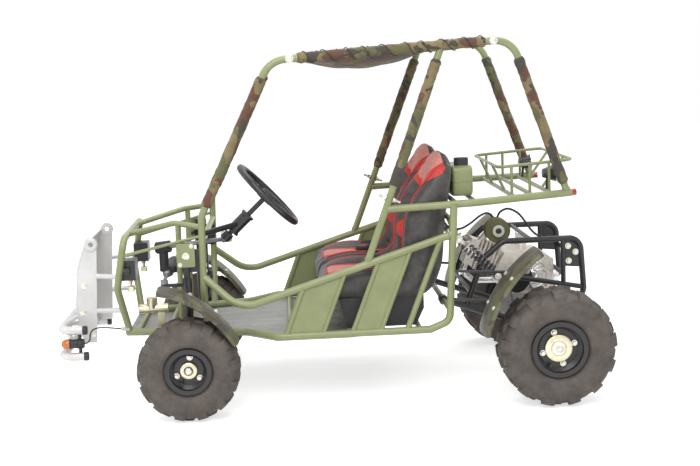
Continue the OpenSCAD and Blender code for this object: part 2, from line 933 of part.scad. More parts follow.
module engine_cage() {
    color(black)
        both()
            difference() {
                union() {
                    bent(cage_path, 44, cage_d);
                    run(mid_front, mid_rear, cage_d - 4);
                    run(inner_low, [inner_x, cage_half_w, cage_lift], cage_d - 4);
                }
                run(arm_front, arm_rear, cage_d + 2);
                disc_y(arm_rear.x, cage_half_w - 30, arm_rear.z, carrier_d + 2 * seat_gap, 60);
            }
}

module cage_bars() {
    bars = [
        [rx + 25, cage_half_w, cage_lift],
        [inner_x, cage_half_w, 402],
        mix(cage_path[3], cage_path[4], 0.4),
        mix(cage_path[0], cage_path[1], 0.3)
    ];
    color(black)
        for (p = bars)
            difference() {
                lateral(p, cage_d - 6);
                both() {
                    bent(cage_path, 44, cage_d);
                    run(inner_low, [inner_x, cage_half_w, cage_lift], cage_d - 4);
                }
            }
}

module swing_arms() {
    color(black)
        both()
            difference() {
                union() {
                    run(arm_front, arm_rear, cage_d + 2);
                    disc_y(arm_front.x, cage_half_w - 20, arm_front.z, 34, 40);
                    disc_y(arm_rear.x, cage_half_w - 16, arm_rear.z, carrier_d, 32);
                }
                disc_y(arm_front.x, cage_half_w - 30, arm_front.z, post_d + 2 * seat_gap, 60);
                disc_y(arm_rear.x, cage_half_w - 30, arm_rear.z, axle_d + 2 * run_gap, 60);
            }
}

// A wire wound about the z axis from height z0 to z1, as rings square to its path
module coil(r, wire, turns, z0, z1) {
    rings = turns * 14;
    sides = 6;
    slope = atan2((z1 - z0) / turns, 360 * r * PI / 180);
    function on(i, j) =
        let (t = i * 360 / 14, a = j * 360 / sides, out = r + wire / 2 * cos(a), lift = wire / 2 * sin(a))
        [
            out * cos(t) + lift * sin(slope) * sin(t),
            out * sin(t) - lift * sin(slope) * cos(t),
            z0 + (z1 - z0) * i / rings + lift * cos(slope)
        ];
    function id(i, j) = i * sides + j % sides;
    polyhedron(
        points = [for (i = [0:rings], j = [0:sides - 1]) on(i, j)],
        faces = concat(
            [for (i = [0:rings - 1], j = [0:sides - 1], half = [0, 1])
                half == 0
                    ? [id(i, j), id(i, j + 1), id(i + 1, j + 1)]
                    : [id(i, j), id(i + 1, j + 1), id(i + 1, j)]],
            [[for (j = [sides - 1:-1:0]) id(0, j)], [for (j = [0:sides - 1]) id(rings, j)]]
        )
    );
}

module shocks() {
    v = shock_top - shock_low;
    l = norm(v);
    low = 34;
    high = l - 42;
    room = wire_d / 2 + seat_gap;
    low_eye_y = cage_half_w + (cage_d - 4) / 2 + seat_gap;
    collar = spring_d / 2 + 1;
    color(black)
        both() {
            translate(shock_low)
                rotate([0, acos(v.z / l), atan2(v.y, v.x)]) {
                    rotate_extrude()
                        polygon([
                            [0, 13], [9, 13], [9, low - 10], [collar, low - 4], [collar, low], [13, low],
                            [13, high - 50], [10, high - 48], [10, high], [collar, high], [collar, high + 4],
                            [15, high + 12], [9, high + 16], [9, l - 13], [0, l - 13]
                        ]);
                    coil((spring_d - wire_d) / 2, wire_d, spring_turns, low + room, high - room);
                }
            disc_y(shock_low.x, low_eye_y, shock_low.z, 30, shock_y + 11 - low_eye_y);
            disc_y(shock_top.x, shock_y - 11, shock_top.z, 30, 22);
            difference() {
                run([shock_top.x, shock_y, shock_top.z], [seat_bar.x, shock_y, seat_bar.z], 16);
                lateral(seat_bar, post_d);
            }
        }
}

// A roller chain as one loop, wide at each roller and waisted between two of them
module chain() {
    v = [drive_c.x - rx, drive_c.y - rear_r];
    l = norm(v);
    lean = atan2(v.y, v.x);
    slope = asin((gear_r - pinion_r) / l);
    mid = 4.8;
    runs = [
        [gear_r + mid, 180 + 2 * slope], [0, l * cos(slope)],
        [pinion_r + mid, 180 - 2 * slope], [0, l * cos(slope)]
    ];
    lengths = [for (k = runs) k[0] == 0 ? k[1] : k[0] * k[1] * PI / 180];
    whole = lengths[0] + lengths[1] + lengths[2] + lengths[3];
    links = 2 * round(whole / (2 * chain_pitch));
    // the point of the loop a length s along it, moved out by g
    function on(s, g) =
        s < lengths[0]
            ? let (a = 90 - slope + s / runs[0][0] * 180 / PI) (runs[0][0] + g) * [cos(a), sin(a)]
        : s < lengths[0] + lengths[1]
            ? let (a = 270 + slope, t = s - lengths[0])
              (runs[0][0] + g) * [cos(a), sin(a)] + t * [-sin(a), cos(a)]
        : s < lengths[0] + lengths[1] + lengths[2]
            ? let (a = -90 + slope + (s - lengths[0] - lengths[1]) / runs[2][0] * 180 / PI)
              [l, 0] + (runs[2][0] + g) * [cos(a), sin(a)]
        : let (a = 90 - slope, t = s - whole)
          (runs[0][0] + g) * [cos(a), sin(a)] + t * [-sin(a), cos(a)];
    function edge(side) = [
        for (k = [0:2 * links - 1]) on(k * whole / (2 * links), side * (k % 2 == 0 ? 4.2 : 2.8))
    ];
    color([0.25, 0.25, 0.26])
        translate([rx, chain_y + chain_w / 2, rear_r])
            rotate([90, 0, 0])
                rotate([0, 0, lean])
                    linear_extrude(height = chain_w)
                        difference() {
                            polygon(edge(1));
                            polygon(edge(-1));
                        }
}

module rear_mudguards() {
    y0 = rear_y + rear_tyre_w / 2 - rear_guard_w - 20;
    color(camo)
        both() {
            side_plate(thick_line(rear_curve, guard_t), y0, rear_guard_w);
            for (i = [7, 12]) {
                p = [rear_curve[i].x - 3, y0 + guard_rod_in, rear_curve[i].y];
                difference() {
                    run(p, at_z(sill_heel, sill_top_rear, p.z + 12), rod_d);
                    run(sill_heel, sill_top_rear, frame_d);
                }
            }
        }
}

module pedals() {
    bar = dash_bar;
    color(black)
        for (y = [110, 250])
            difference() {
                union() {
                    translate([bar.x - 3, y - 10, 428]) cube([6, 20, bar.z - 428]);
                    translate([bar.x - 13, y - 28, 404]) cube([12, 56, 58]);
                }
                lateral(bar, post_d);
            }
}

module brake_cylinder() {
    pan_top = sill_z - frame_d / 2;
    color(silver) {
        run([ax + 92, 130, 332], [ax + 196, 130, 332], 34);
        run([ax + 150, 130, 334], [ax + 150, 130, 372], 40);
        translate([ax + 104, 122, pan_top]) cube([26, 16, 80]);
    }
}

module steering_gear() {
    v = gear_c - joint_c;
    bar = at_z(front_post_base, front_post_top, rack_z);
    color(black)
        difference() {
            union() {
                run([rack_x, -112, rack_z], [rack_x, 112, rack_z], 42);
                run([gear_c.x, gear_c.y, rack_z], [gear_c.x, gear_c.y, gear_c.z - 4], 34);
                run(gear_c - unit(v) * 26, gear_c + unit(v) * 26, 44);
                for (y = [-70, 70])
                    translate([bar.x, y - 5, rack_z - 12]) cube([rack_x - bar.x, 10, 24]);
            }
            run([rack_x, -130, rack_z], [rack_x, 130, rack_z], 16 + 2 * run_gap);
            run(gear_c - unit(v) * 40, gear_c + unit(v) * 14, 16 + 2 * run_gap);
            lateral([bar.x, 150, bar.z], edge_post_d);
        }
}

module steering_wheel() {
    ring_r = (wheel_d - grip_d) / 2;
    color(black)
        on_column()
            difference() {
                union() {
                    rotate_extrude() translate([ring_r, 0]) circle(d = grip_d);
                    translate([0, 0, 2]) cylinder(d = 64, h = 22);
                    for (a = [90, 210, 330])
                        rotate([0, 0, a]) translate([0, -16, 3]) cube([ring_r - 3, 32, 5]);
                    translate([0, 0, 10]) cylinder(d = shaft_d, h = column_l - 10 - ball_r);
                    translate([0, 0, column_l - 30]) cylinder(d = 2 * ball_r + 10, h = 30);
                }
                translate([0, 0, column_l]) sphere(r = ball_r + seat_gap);
            }
}

module lower_shaft() {
    v = unit(gear_c - joint_c);
    l = norm(gear_c - joint_c) + 10;
    color(silver)
        translate(joint_c)
            rotate([0, acos(v.z), atan2(v.y, v.x)])
                rotate_extrude()
                    intersection() {
                        union() {
                            circle(r = ball_r);
                            square([8, l]);
                        }
                        translate([0, -ball_r]) square([2 * ball_r, l + ball_r]);
                    }
}

module steering_rack() {
    eye_z = rack_z;
    color(silver) {
        run([rack_x, -176, rack_z], [rack_x, 176, rack_z], 16);
        both() {
            translate([rack_x, 176, rack_z]) sphere(r = 13);
            run([rack_x, 176, rack_z], [ax + arm_l, kingpin_y, eye_z], 12);
            translate([ax + arm_l, kingpin_y, eye_z - 7]) cylinder(d = 26, h = 14);
        }
    }
}

module knuckle() {
    arm_top = rack_z - 7 - 1;
    strut_bore = 14 + 2 * run_gap;
    low = front_r - 60 + seat_gap;
    color(black)
        difference() {
            union() {
                translate([ax, kingpin_y, low]) cylinder(d = 32, h = 474 - low);
                disc_y(ax, kingpin_y, front_r, spindle_d, front_y - kingpin_y + 22);
                disc_y(ax, kingpin_y, front_r, 40, 34);
                translate([ax, kingpin_y - 9, arm_top - 10]) cube([arm_l, 18, 10]);
                translate([ax + arm_l, kingpin_y, arm_top - 10]) cylinder(d = 26, h = 10);
            }
            translate([ax, kingpin_y, 390]) cylinder(d = strut_bore, h = 100);
            translate([ax, kingpin_y, low - 1]) cylinder(d = strut_bore, h = 36);
        }
}

module left_knuckle() {
    knuckle();
}

module right_knuckle() {
    mirror([0, 1, 0]) knuckle();
}

module front_mudguard() {
    y0 = front_y + front_tyre_w / 2 - front_guard_w;
    mid_p = front_curve[6];
    rear_p = front_curve[11];
    color(camo) {
        side_plate(thick_line(front_curve, guard_t), y0, front_guard_w);
        for (p = [mid_p, rear_p])
            difference() {
                run([ax, kingpin_y, 404], [p.x, y0 + 26, p.y - 3], 12);
                translate([ax, kingpin_y, 300]) cylinder(d = 32, h = 200);
            }
    }
}

module left_front_mudguard() {
    front_mudguard();
}

module right_front_mudguard() {
    mirror([0, 1, 0]) front_mudguard();
}

// A knobbly tyre as one closed net of rings about the axle. Each ring has two points for every lug of
// either row. On the rings where lugs stand they are the lug's two ends, and the rows alternate.
module tyre(c, r, flange_r, rim_w, w, lugs, lug_h) {
    h = w / 2;
    bead = rim_w / 2 - 8 - seat_gap;
    crown = w / 10;
    // radius and distance from the middle: bead, flange, bulge, widest line, shoulder and crown
    groove = [
        [flange_r - flange_h + 2 * seat_gap, bead], [flange_r + 3, bead], [flange_r + 14, h - 5],
        [r - 44, h], [r - lug_h - 8, h - 19], [r - lug_h, crown]
    ];
    // shoulder and crown where a lug stands
    lug = [[r - 6, h - 13], [r, crown]];
    n = 4 * lugs;
    step = 360 / n;
    // side and row of each ring, from the inner edge over the tread to the outer one
    rings = concat([for (j = [0:5]) [-1, j]], [for (j = [5:-1:0]) [1, j]]);
    function stands(side, k) = (floor(k / 2) % 2 == 0) == (side > 0);
    function at(side, j, k) =
        let (
            q = j > 3 && stands(side, k) ? lug[j - 4] : groove[j],
            slip = j > 3 ? 0.5 - 2 * lug_draft : 0,
            turn = (k + 0.5 + (k % 2 == 0 ? -slip : slip)) * step - 90
        )
        c + [q[0] * cos(turn), side * q[1], q[0] * sin(turn)];
    function id(i, k) = i % len(rings) * n + k % n;
    color(tyre_black)
        polyhedron(
            points = [for (ring = rings, k = [0:n - 1]) at(ring[0], ring[1], k)],
            faces = [
                for (i = [0:len(rings) - 1], k = [0:n - 1], half = [0, 1])
                    half == 0
                        ? [id(i, k), id(i, k + 1), id(i + 1, k + 1)]
                        : [id(i, k), id(i + 1, k + 1), id(i + 1, k)]
            ]
        );
}

// Half-section of a rim with a dished disc towards +Y
module rim(c, flange_r, w, hub_r, bore_r, hub_in, hub_out) {
    seat_r = flange_r - flange_h;
    h = w / 2;
    face = h - disc_recess;
    color(black)
        difference() {
            union() {
                lathe_y(c, [
                    [seat_r - 6, -h], [flange_r, -h], [flange_r, -h + 6], [seat_r, -h + 8], [seat_r, -h + 22],
                    [seat_r - 14, -h + 34], [seat_r - 14, h - 34], [seat_r, h - 22], [seat_r, h - 8],
                    [flange_r, h - 6], [flange_r, h], [seat_r - 6, h], [seat_r - 6, h - 20],
                    [seat_r - 20, h - 32], [seat_r - 20, -h + 32], [seat_r - 6, -h + 20]
                ]);
                lathe_y(c, [
                    [bore_r, face - 5], [seat_r - 16, face - 5], [seat_r - 16, face], [bore_r, face]
                ]);
                lathe_y(c, [
                    [bore_r, hub_in], [hub_r, hub_in], [hub_r, face + hub_out], [bore_r, face + hub_out]
                ]);
            }
        }
}

module front_tyre() {
    tyre(
        [ax, front_y, front_r], front_r, front_flange_d / 2, front_rim_w, front_tyre_w,
        front_lugs, front_lug_h
    );
}

module front_rim() {
    rim(
        [ax, front_y, front_r], front_flange_d / 2, front_rim_w, 28, spindle_d / 2 + run_gap,
        kingpin_y + 38 - front_y, 8
    );
}

module left_front_tyre() {
    front_tyre();
}

module right_front_tyre() {
    mirror([0, 1, 0]) front_tyre();
}

module left_front_rim() {
    front_rim();
}

module right_front_rim() {
    mirror([0, 1, 0]) front_rim();
}

module rear_axle() {
    color([0.55, 0.56, 0.57]) {
        disc_y(rx, -rear_y - 30, rear_r, axle_d, 2 * rear_y + 60);
        disc_y(rx, chain_y - 3, rear_r, 2 * gear_r, 6);
        disc_y(rx, chain_y - 22, rear_r, 56, 24);
        disc_y(rx, -146, rear_r, 170, 5);
        disc_y(rx, -146, rear_r, 56, 24);
    }
}

module rear_rims() {
    both()
        rim(
            [rx, rear_y, rear_r], rear_flange_d / 2, rear_rim_w, 47, axle_d / 2 + seat_gap,
            cage_half_w + 40 - rear_y, 6
        );
}

module rear_tyres() {
    both()
        tyre(
            [rx, rear_y, rear_r], rear_r, rear_flange_d / 2, rear_rim_w, rear_tyre_w,
            rear_lugs, rear_lug_h
        );
}

sill_tubes();
cross_tubes();
floor_pan();
side_rails();
frame_posts();
side_panels();
rack_rails();
roll_pillars();
roof_rails();
tube_sleeves();
roof_cover();
nose_hoop();
hood_rails();
front_suspension();
column_mount();
front_guard();
guard_stays();
bumper_bars();
headlamps();
lamp_lenses();
indicator_bodies();
indicator_lenses();
seat_bases();
left_seat();
right_seat();
fuel_tank();
tank_cap();
basket_ring();
basket_uprights();
rear_lamps();
tail_lamps();
engine();
air_filter();
exhaust();
engine_cage();
cage_bars();
swing_arms();
shocks();
chain();
rear_mudguards();
pedals();
brake_cylinder();
steering_gear();
steering_wheel();
lower_shaft();
steering_rack();
left_knuckle();
left_front_mudguard();
right_knuckle();
right_front_mudguard();
left_front_tyre();
left_front_rim();
right_front_tyre();
right_front_rim();
rear_axle();
rear_rims();
rear_tyres();
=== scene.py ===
"""Looks of a two-seat off-road go-kart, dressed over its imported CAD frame.

Axes: +X forward, +Y to the driver's left, +Z up. Lengths are in metres.
"""

import logging
import math
from dataclasses import dataclass
from enum import Enum
from typing import Dict, Optional, Sequence, Tuple, Union

import bmesh
import bpy
import numpy as np
from mathutils import Matrix, Vector
from mathutils.bvhtree import BVHTree
from mathutils.geometry import tessellate_polygon


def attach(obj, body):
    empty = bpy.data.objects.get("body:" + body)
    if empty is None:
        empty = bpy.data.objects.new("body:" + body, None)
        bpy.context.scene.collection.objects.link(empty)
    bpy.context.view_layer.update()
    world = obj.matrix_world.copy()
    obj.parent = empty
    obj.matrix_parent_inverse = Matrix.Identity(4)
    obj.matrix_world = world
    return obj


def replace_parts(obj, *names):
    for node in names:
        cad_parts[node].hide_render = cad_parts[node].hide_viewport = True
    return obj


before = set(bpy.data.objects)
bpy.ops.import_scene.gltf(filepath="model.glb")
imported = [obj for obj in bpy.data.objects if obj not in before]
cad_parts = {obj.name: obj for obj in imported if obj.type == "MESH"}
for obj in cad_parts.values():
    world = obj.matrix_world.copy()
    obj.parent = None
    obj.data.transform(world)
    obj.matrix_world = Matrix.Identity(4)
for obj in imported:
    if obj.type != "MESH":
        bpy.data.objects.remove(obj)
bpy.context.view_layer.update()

Array = np.ndarray
Colour = Tuple[float, float, float]
Socket = bpy.types.NodeSocket
Value = Union[Socket, float, Sequence[float]]
Points = Sequence[Sequence[float]]
log = logging.getLogger("kart")
logging.basicConfig(level=logging.INFO, format="%(message)s")

# x of the front and rear axles, and the sign of y on each side
AX = 0.500
RX = -0.770
SIDES = (1.0, -1.0)
NAMED_SIDES = tuple(zip(SIDES, ("left", "right")))


class Body(Enum):
    """Names of the moving groups that pieces ride on."""

    CHASSIS = "chassis"
    STEERING = "steering"
    LOWER = "lower_steering"
    RACK = "rack"
    LEFT_UPRIGHT = "left_upright"
    RIGHT_UPRIGHT = "right_upright"
    LEFT_WHEEL = "left_front_wheel"
    RIGHT_WHEEL = "right_front_wheel"
    REAR_WHEELS = "rear_wheels"


def pt(x: float, y: float, z: float) -> Array:
    """A point as an array."""
    return np.array([x, y, z], float)


def flip(p: Array) -> Array:
    """The same point or points on the other side of the kart."""
    return np.asarray(p, float) * np.array([1.0, -1.0, 1.0])


def mix(p: Array, q: Array, t: float) -> Array:
    """The point a share t of the way from p to q."""
    return p + (q - p) * t


def at_x(p: Array, q: Array, x: float) -> Array:
    """The point of the line p to q at that x."""
    return mix(p, q, (x - p[0]) / (q[0] - p[0]))


def at_z(p: Array, q: Array, z: float) -> Array:
    """The point of the line p to q at that z."""
    return mix(p, q, (z - p[2]) / (q[2] - p[2]))


AHEAD = pt(1.0, 0.0, 0.0)
LEFT = pt(0.0, 1.0, 0.0)
UP = pt(0.0, 0.0, 1.0)

# Where the tubes meet or bend on the left side, and the places of what they carry
A_BOLT = pt(AX - 0.392, 0.352, 1.221)
C_BOLT = pt(RX + 0.174, 0.352, 1.256)
A_TOP = at_x(A_BOLT, C_BOLT, AX - 0.323)
C_TOP = at_x(A_BOLT, C_BOLT, RX + 0.110)
A_FOOT = pt(AX - 0.062, 0.345, 0.690)
SILL_HEEL = pt(RX + 0.356, 0.400, 0.290)
SILL_TOP = pt(RX + 0.331, 0.400, 0.700)
RAIL_DIP = pt(AX - 0.185, 0.400, 0.366)
RAIL_REAR = at_z(SILL_HEEL, SILL_TOP, 0.597)
B_FOOT = at_x(RAIL_DIP, RAIL_REAR, RX + 0.640)
B_HEAD = at_x(A_BOLT, C_BOLT, RX + 0.353)
RACK_BEND = pt(SILL_TOP[0] - 0.070, 0.394, 0.702)
RACK_REAR = pt(RX - 0.096, 0.330, 0.716)
C_FOOT = at_x(RACK_BEND, RACK_REAR, RX - 0.082)
WHEEL_C = pt(AX - 0.294, 0.190, 0.740)
COLUMN_TILT = math.radians(43)
COLUMN_DIR = pt(math.cos(COLUMN_TILT), 0.0, -math.sin(COLUMN_TILT))
JOINT_C = WHEEL_C + COLUMN_DIR * 0.226
SHOCK_Y = 0.245
SHOCK_TOP = pt(RX + 0.298, SHOCK_Y, 0.556)
BUMPER_X = AX + 0.458
BAR_Z = (0.204, 0.298)
BUMPER_Y = 0.300


@dataclass
class Patch:
    """A piece of surface: its points, four-sided faces and three-sided faces."""

    verts: Array
    quads: Array
    tris: Array

    @staticmethod
    def join(parts: Sequence["Patch"]) -> "Patch":
        """All the patches as one, each part's faces counted on from the last.

        Args:
            parts: the patches to put together.

        Returns:
            One patch that holds them all.
        """
        starts = np.cumsum([0] + [len(p.verts) for p in parts[:-1]])
        return Patch(
            np.vstack([p.verts for p in parts]),
            np.vstack([p.quads + s for p, s in zip(parts, starts)]),
            np.vstack([p.tris + s for p, s in zip(parts, starts)]),
        )

    def moved(self, offset: Array) -> "Patch":
        """A copy shifted by offset."""
        return Patch(self.verts + offset, self.quads, self.tris)

    def mirrored(self) -> "Patch":
        """A copy for the kart's other side, its faces turned to stay outwards."""
        return Patch(flip(self.verts), self.quads[:, ::-1], self.tris[:, ::-1])

    def both(self) -> "Patch":
        """This patch with its mirror image."""
        return Patch.join([self, self.mirrored()])


NO_TRIS = np.zeros((0, 3), int)


def grid(points: Array, wrap_rows: bool = False, wrap_cols: bool = False) -> Patch:
    """A surface through a grid of points, one quad for each cell.

    Args:
        points: rows by columns by 3.
        wrap_rows: whether the last row joins the first.
        wrap_cols: whether the last column joins the first.

    Returns:
        The patch.
    """
    rows, cols = points.shape[:2]
    i = np.arange(rows if wrap_rows else rows - 1)
    j = np.arange(cols if wrap_cols else cols - 1)
    a, b = np.meshgrid(i, j, indexing="ij")
    a2, b2 = (a + 1) % rows, (b + 1) % cols
    quads = np.stack([a * cols + b, a * cols + b2, a2 * cols + b2, a2 * cols + b], -1)
    return Patch(points.reshape(-1, 3), quads.reshape(-1, 4), NO_TRIS)


def unit(v: Array) -> Array:
    """Vectors scaled to length one, along the last axis."""
    v = np.asarray(v, float)
    return v / np.maximum(np.linalg.norm(v, axis=-1, keepdims=True), 1e-12)


def across(axis: Array) -> Tuple[Array, Array]:
    """Two unit vectors square to axis and to each other.

    Args:
        axis: the direction that both are square to.

    Returns:
        The two vectors.
    """
    axis = unit(axis)
    helper = np.where(abs(axis[2]) > 0.9, AHEAD, UP)
    u = unit(np.cross(helper, axis))
    return u, np.cross(axis, u)


def ring_angles(n: int) -> Array:
    """n equal steps of a full turn."""
    return np.linspace(0, 2 * math.pi, n, endpoint=False)


def about_y(r: Union[float, Array], a: Array) -> Array:
    """Points at radius r and angle a about the y axis: (r cos a, 0, r sin a)."""
    return np.stack([r * np.cos(a), 0 * a, r * np.sin(a)], -1)


def signed_power(t: Array, power: float) -> Array:
    """A power of t's size with t's own sign, which squares off a circle's sines and cosines."""
    return np.sign(t) * np.abs(t) ** power


def even_line(p: Array, q: Array, n: int) -> Array:
    """n even points from p to q."""
    return p + (q - p) * np.linspace(0, 1, n)[:, None]


def lathe(profile: Points, centre: Array, axis: Array, n: int = 40) -> Patch:
    """A profile turned about an axis: centre + axis h + r (u cos a + v sin a).

    Args:
        profile: radius and height pairs, from the foot to the tip.
        centre: the point at height 0.
        axis: the axis of the turn.
        n: steps round the axis.

    Returns:
        The patch, with poles where the radius is 0.
    """
    rh = np.asarray(profile, float)
    u, v = across(axis)
    a = ring_angles(n)[:, None, None]
    around = np.cos(a) * u + np.sin(a) * v
    points = centre + unit(axis) * rh[None, :, 1:2] + around * rh[None, :, 0:1]
    return grid(points, wrap_rows=True)


def sweep(
    path: Array, radius: Union[float, Array], n: int = 12, up: Array = UP, closed: bool = False
) -> Patch:
    """A round tube: path + r (u cos a + v sin a), with u and v square to the path.

    Args:
        path: the points of the middle line.
        radius: one radius, or one for each point.
        n: steps round the tube.
        up: a direction that the path never runs along.
        closed: whether the path joins itself.

    Returns:
        The patch, its ends closed by flat caps unless the path is closed.
    """
    path = np.asarray(path, float)
    tangent = np.roll(path, -1, 0) - np.roll(path, 1, 0) if closed else np.gradient(path, axis=0)
    tangent = unit(tangent)
    u = unit(np.cross(tangent, up))
    v = np.cross(tangent, u)
    r = np.broadcast_to(np.asarray(radius, float), (len(path),))
    a = ring_angles(n)
    ring = np.cos(a)[None, :, None] * u[:, None] + np.sin(a)[None, :, None] * v[:, None]
    points = path[:, None] + ring * r[:, None, None]
    if closed:
        return grid(points, wrap_rows=True, wrap_cols=True)
    ends = [np.repeat(path[:1, None], n, 1), points, np.repeat(path[-1:, None], n, 1)]
    return grid(np.concatenate(ends), wrap_cols=True)


def pillow(centre: Array, half: Sequence[float], sharp: float = 0.22, n: int = 24) -> Patch:
    """A rounded box: half sizes times the signed powers of a sphere's directions.

    Args:
        centre: the middle.
        half: half its size along x, y and z.
        sharp: power of the sines and cosines; small is boxy, 1 is an ellipsoid.
        n: steps from pole to pole; twice that round it.

    Returns:
        The patch.
    """
    lift = np.linspace(-math.pi / 2, math.pi / 2, n + 1)[None, :]
    turn = ring_angles(2 * n)[:, None]
    level = signed_power(np.cos(lift), sharp)
    x = level * signed_power(np.cos(turn), sharp)
    y = level * signed_power(np.sin(turn), sharp)
    z = signed_power(np.sin(lift), sharp) * np.ones_like(turn)
    return grid(np.stack([x, y, z], -1) * np.asarray(half) + centre, wrap_rows=True)


def plate(outline: Array, normal: Array, thick: float) -> Patch:
    """A flat plate: a closed outline, and the same moved along normal, with a wall between.

    Args:
        outline: points of a star-shaped outline in one plane.
        normal: the direction of its thickness.
        thick: its thickness.

    Returns:
        The patch.
    """
    outline = np.asarray(outline, float)
    lift = unit(normal) * thick
    mid = outline.mean(0)
    rows = [np.repeat(mid[None], len(outline), 0), outline, outline + lift]
    rows.append(np.repeat((mid + lift)[None], len(outline), 0))
    return grid(np.stack(rows), wrap_cols=True)


def copies(base: Patch, places: Array) -> Patch:
    """The same patch at several places.

    Args:
        base: the patch at the origin.
        places: one row for each copy.

    Returns:
        One patch of them all.
    """
    places = np.atleast_2d(places)
    step = len(base.verts) * np.arange(len(places))
    verts = (places[:, None] + base.verts[None]).reshape(-1, 3)
    quads = (base.quads[None] + step[:, None, None]).reshape(-1, 4)
    tris = (base.tris[None] + step[:, None, None]).reshape(-1, 3)
    return Patch(verts, quads, tris)


def bolts(places: Array, axis: Array, r: float, h: float) -> Patch:
    """Hexagon bolt heads on washers, standing along axis at each place.

    Args:
        places: the points on the surface.
        axis: the direction out of the surface.
        r: radius over the head's corners.
        h: height of the head.

    Returns:
        One patch of all the bolts.
    """
    foot = pt(0, 0, 0)
    washer = [[0, 0], [r * 1.45, 0], [r * 1.5, h * 0.1], [r * 1.4, h * 0.25], [0, h * 0.25]]
    head = [[0, h * 0.2], [r, h * 0.2], [r, h * 0.85], [r * 0.86, h], [0, h]]
    base = Patch.join([lathe(washer, foot, axis, 20), lathe(head, foot, axis, 6)])
    return copies(base, places)


def wrinkle(p: Array, size: float, seed: float = 0.0) -> Array:
    """Smooth lumps from -1 to 1: the mean of the sines of three slanted plane waves.

    Args:
        p: the points, along the last axis.
        size: about the width of a lump.
        seed: shifts the lumps.

    Returns:
        One height for each point.
    """
    k = p / size
    a = np.sin(k[..., 0] * 1.7 + k[..., 1] * 2.3 + k[..., 2] * 1.1 + seed)
    b = np.sin(k[..., 0] * -2.9 + k[..., 1] * 1.3 + k[..., 2] * 2.1 + seed * 1.7 + 1.0)
    c = np.sin(k[..., 0] * 1.9 + k[..., 1] * -3.1 + k[..., 2] * 3.7 + seed * 2.3 + 2.0)
    return (a + b + c) / 3


def smoothstep(lo: float, hi: float, t: Array) -> Array:
    """0 below lo, 1 above hi, and a smooth rise between."""
    s = np.clip((np.asarray(t, float) - lo) / (hi - lo), 0, 1)
    return s * s * (3 - 2 * s)


def run_length(line: Array) -> Array:
    """The distance along a line to each of its points."""
    return np.concatenate([[0], np.cumsum(np.linalg.norm(np.diff(line, axis=0), axis=1))])


def resample(line: Array, run: Array, want: Array) -> Array:
    """The line's points at the distances in want, where run holds its own points' distances."""
    return np.stack([np.interp(want, run, line[:, k]) for k in range(line.shape[1])], -1)


def catmull_rom(points: Array, s: Array) -> Array:
    """A smooth line: at s = i + t, the Catmull-Rom cubic in t of the four points from i on.

    Args:
        points: the points it passes through, with one before the first and one after the last.
        s: the places along it, counted in spans.

    Returns:
        The samples, one a row.
    """
    i = np.minimum(s.astype(int), len(points) - 4)
    t = (s - i)[:, None]
    a, b, c, d = points[i], points[i + 1], points[i + 2], points[i + 3]
    return b + 0.5 * t * (c - a + t * (2 * a - 5 * b + 4 * c - d + t * (3 * (b - c) + d - a)))


def spline(points: Points, n: int) -> Array:
    """A smooth line through points, n samples spread evenly by its length.

    Args:
        points: the points it passes through.
        n: number of samples.

    Returns:
        The samples, one a row.
    """
    p = np.asarray(points, float)
    spans = len(p) - 1
    held = np.vstack([2 * p[:1] - p[1:2], p, 2 * p[-1:] - p[-2:-1]])
    fine = catmull_rom(held, np.linspace(0, spans, spans * 40 + 1))
    run = run_length(fine)
    return resample(fine, run, np.linspace(0, run[-1], n))


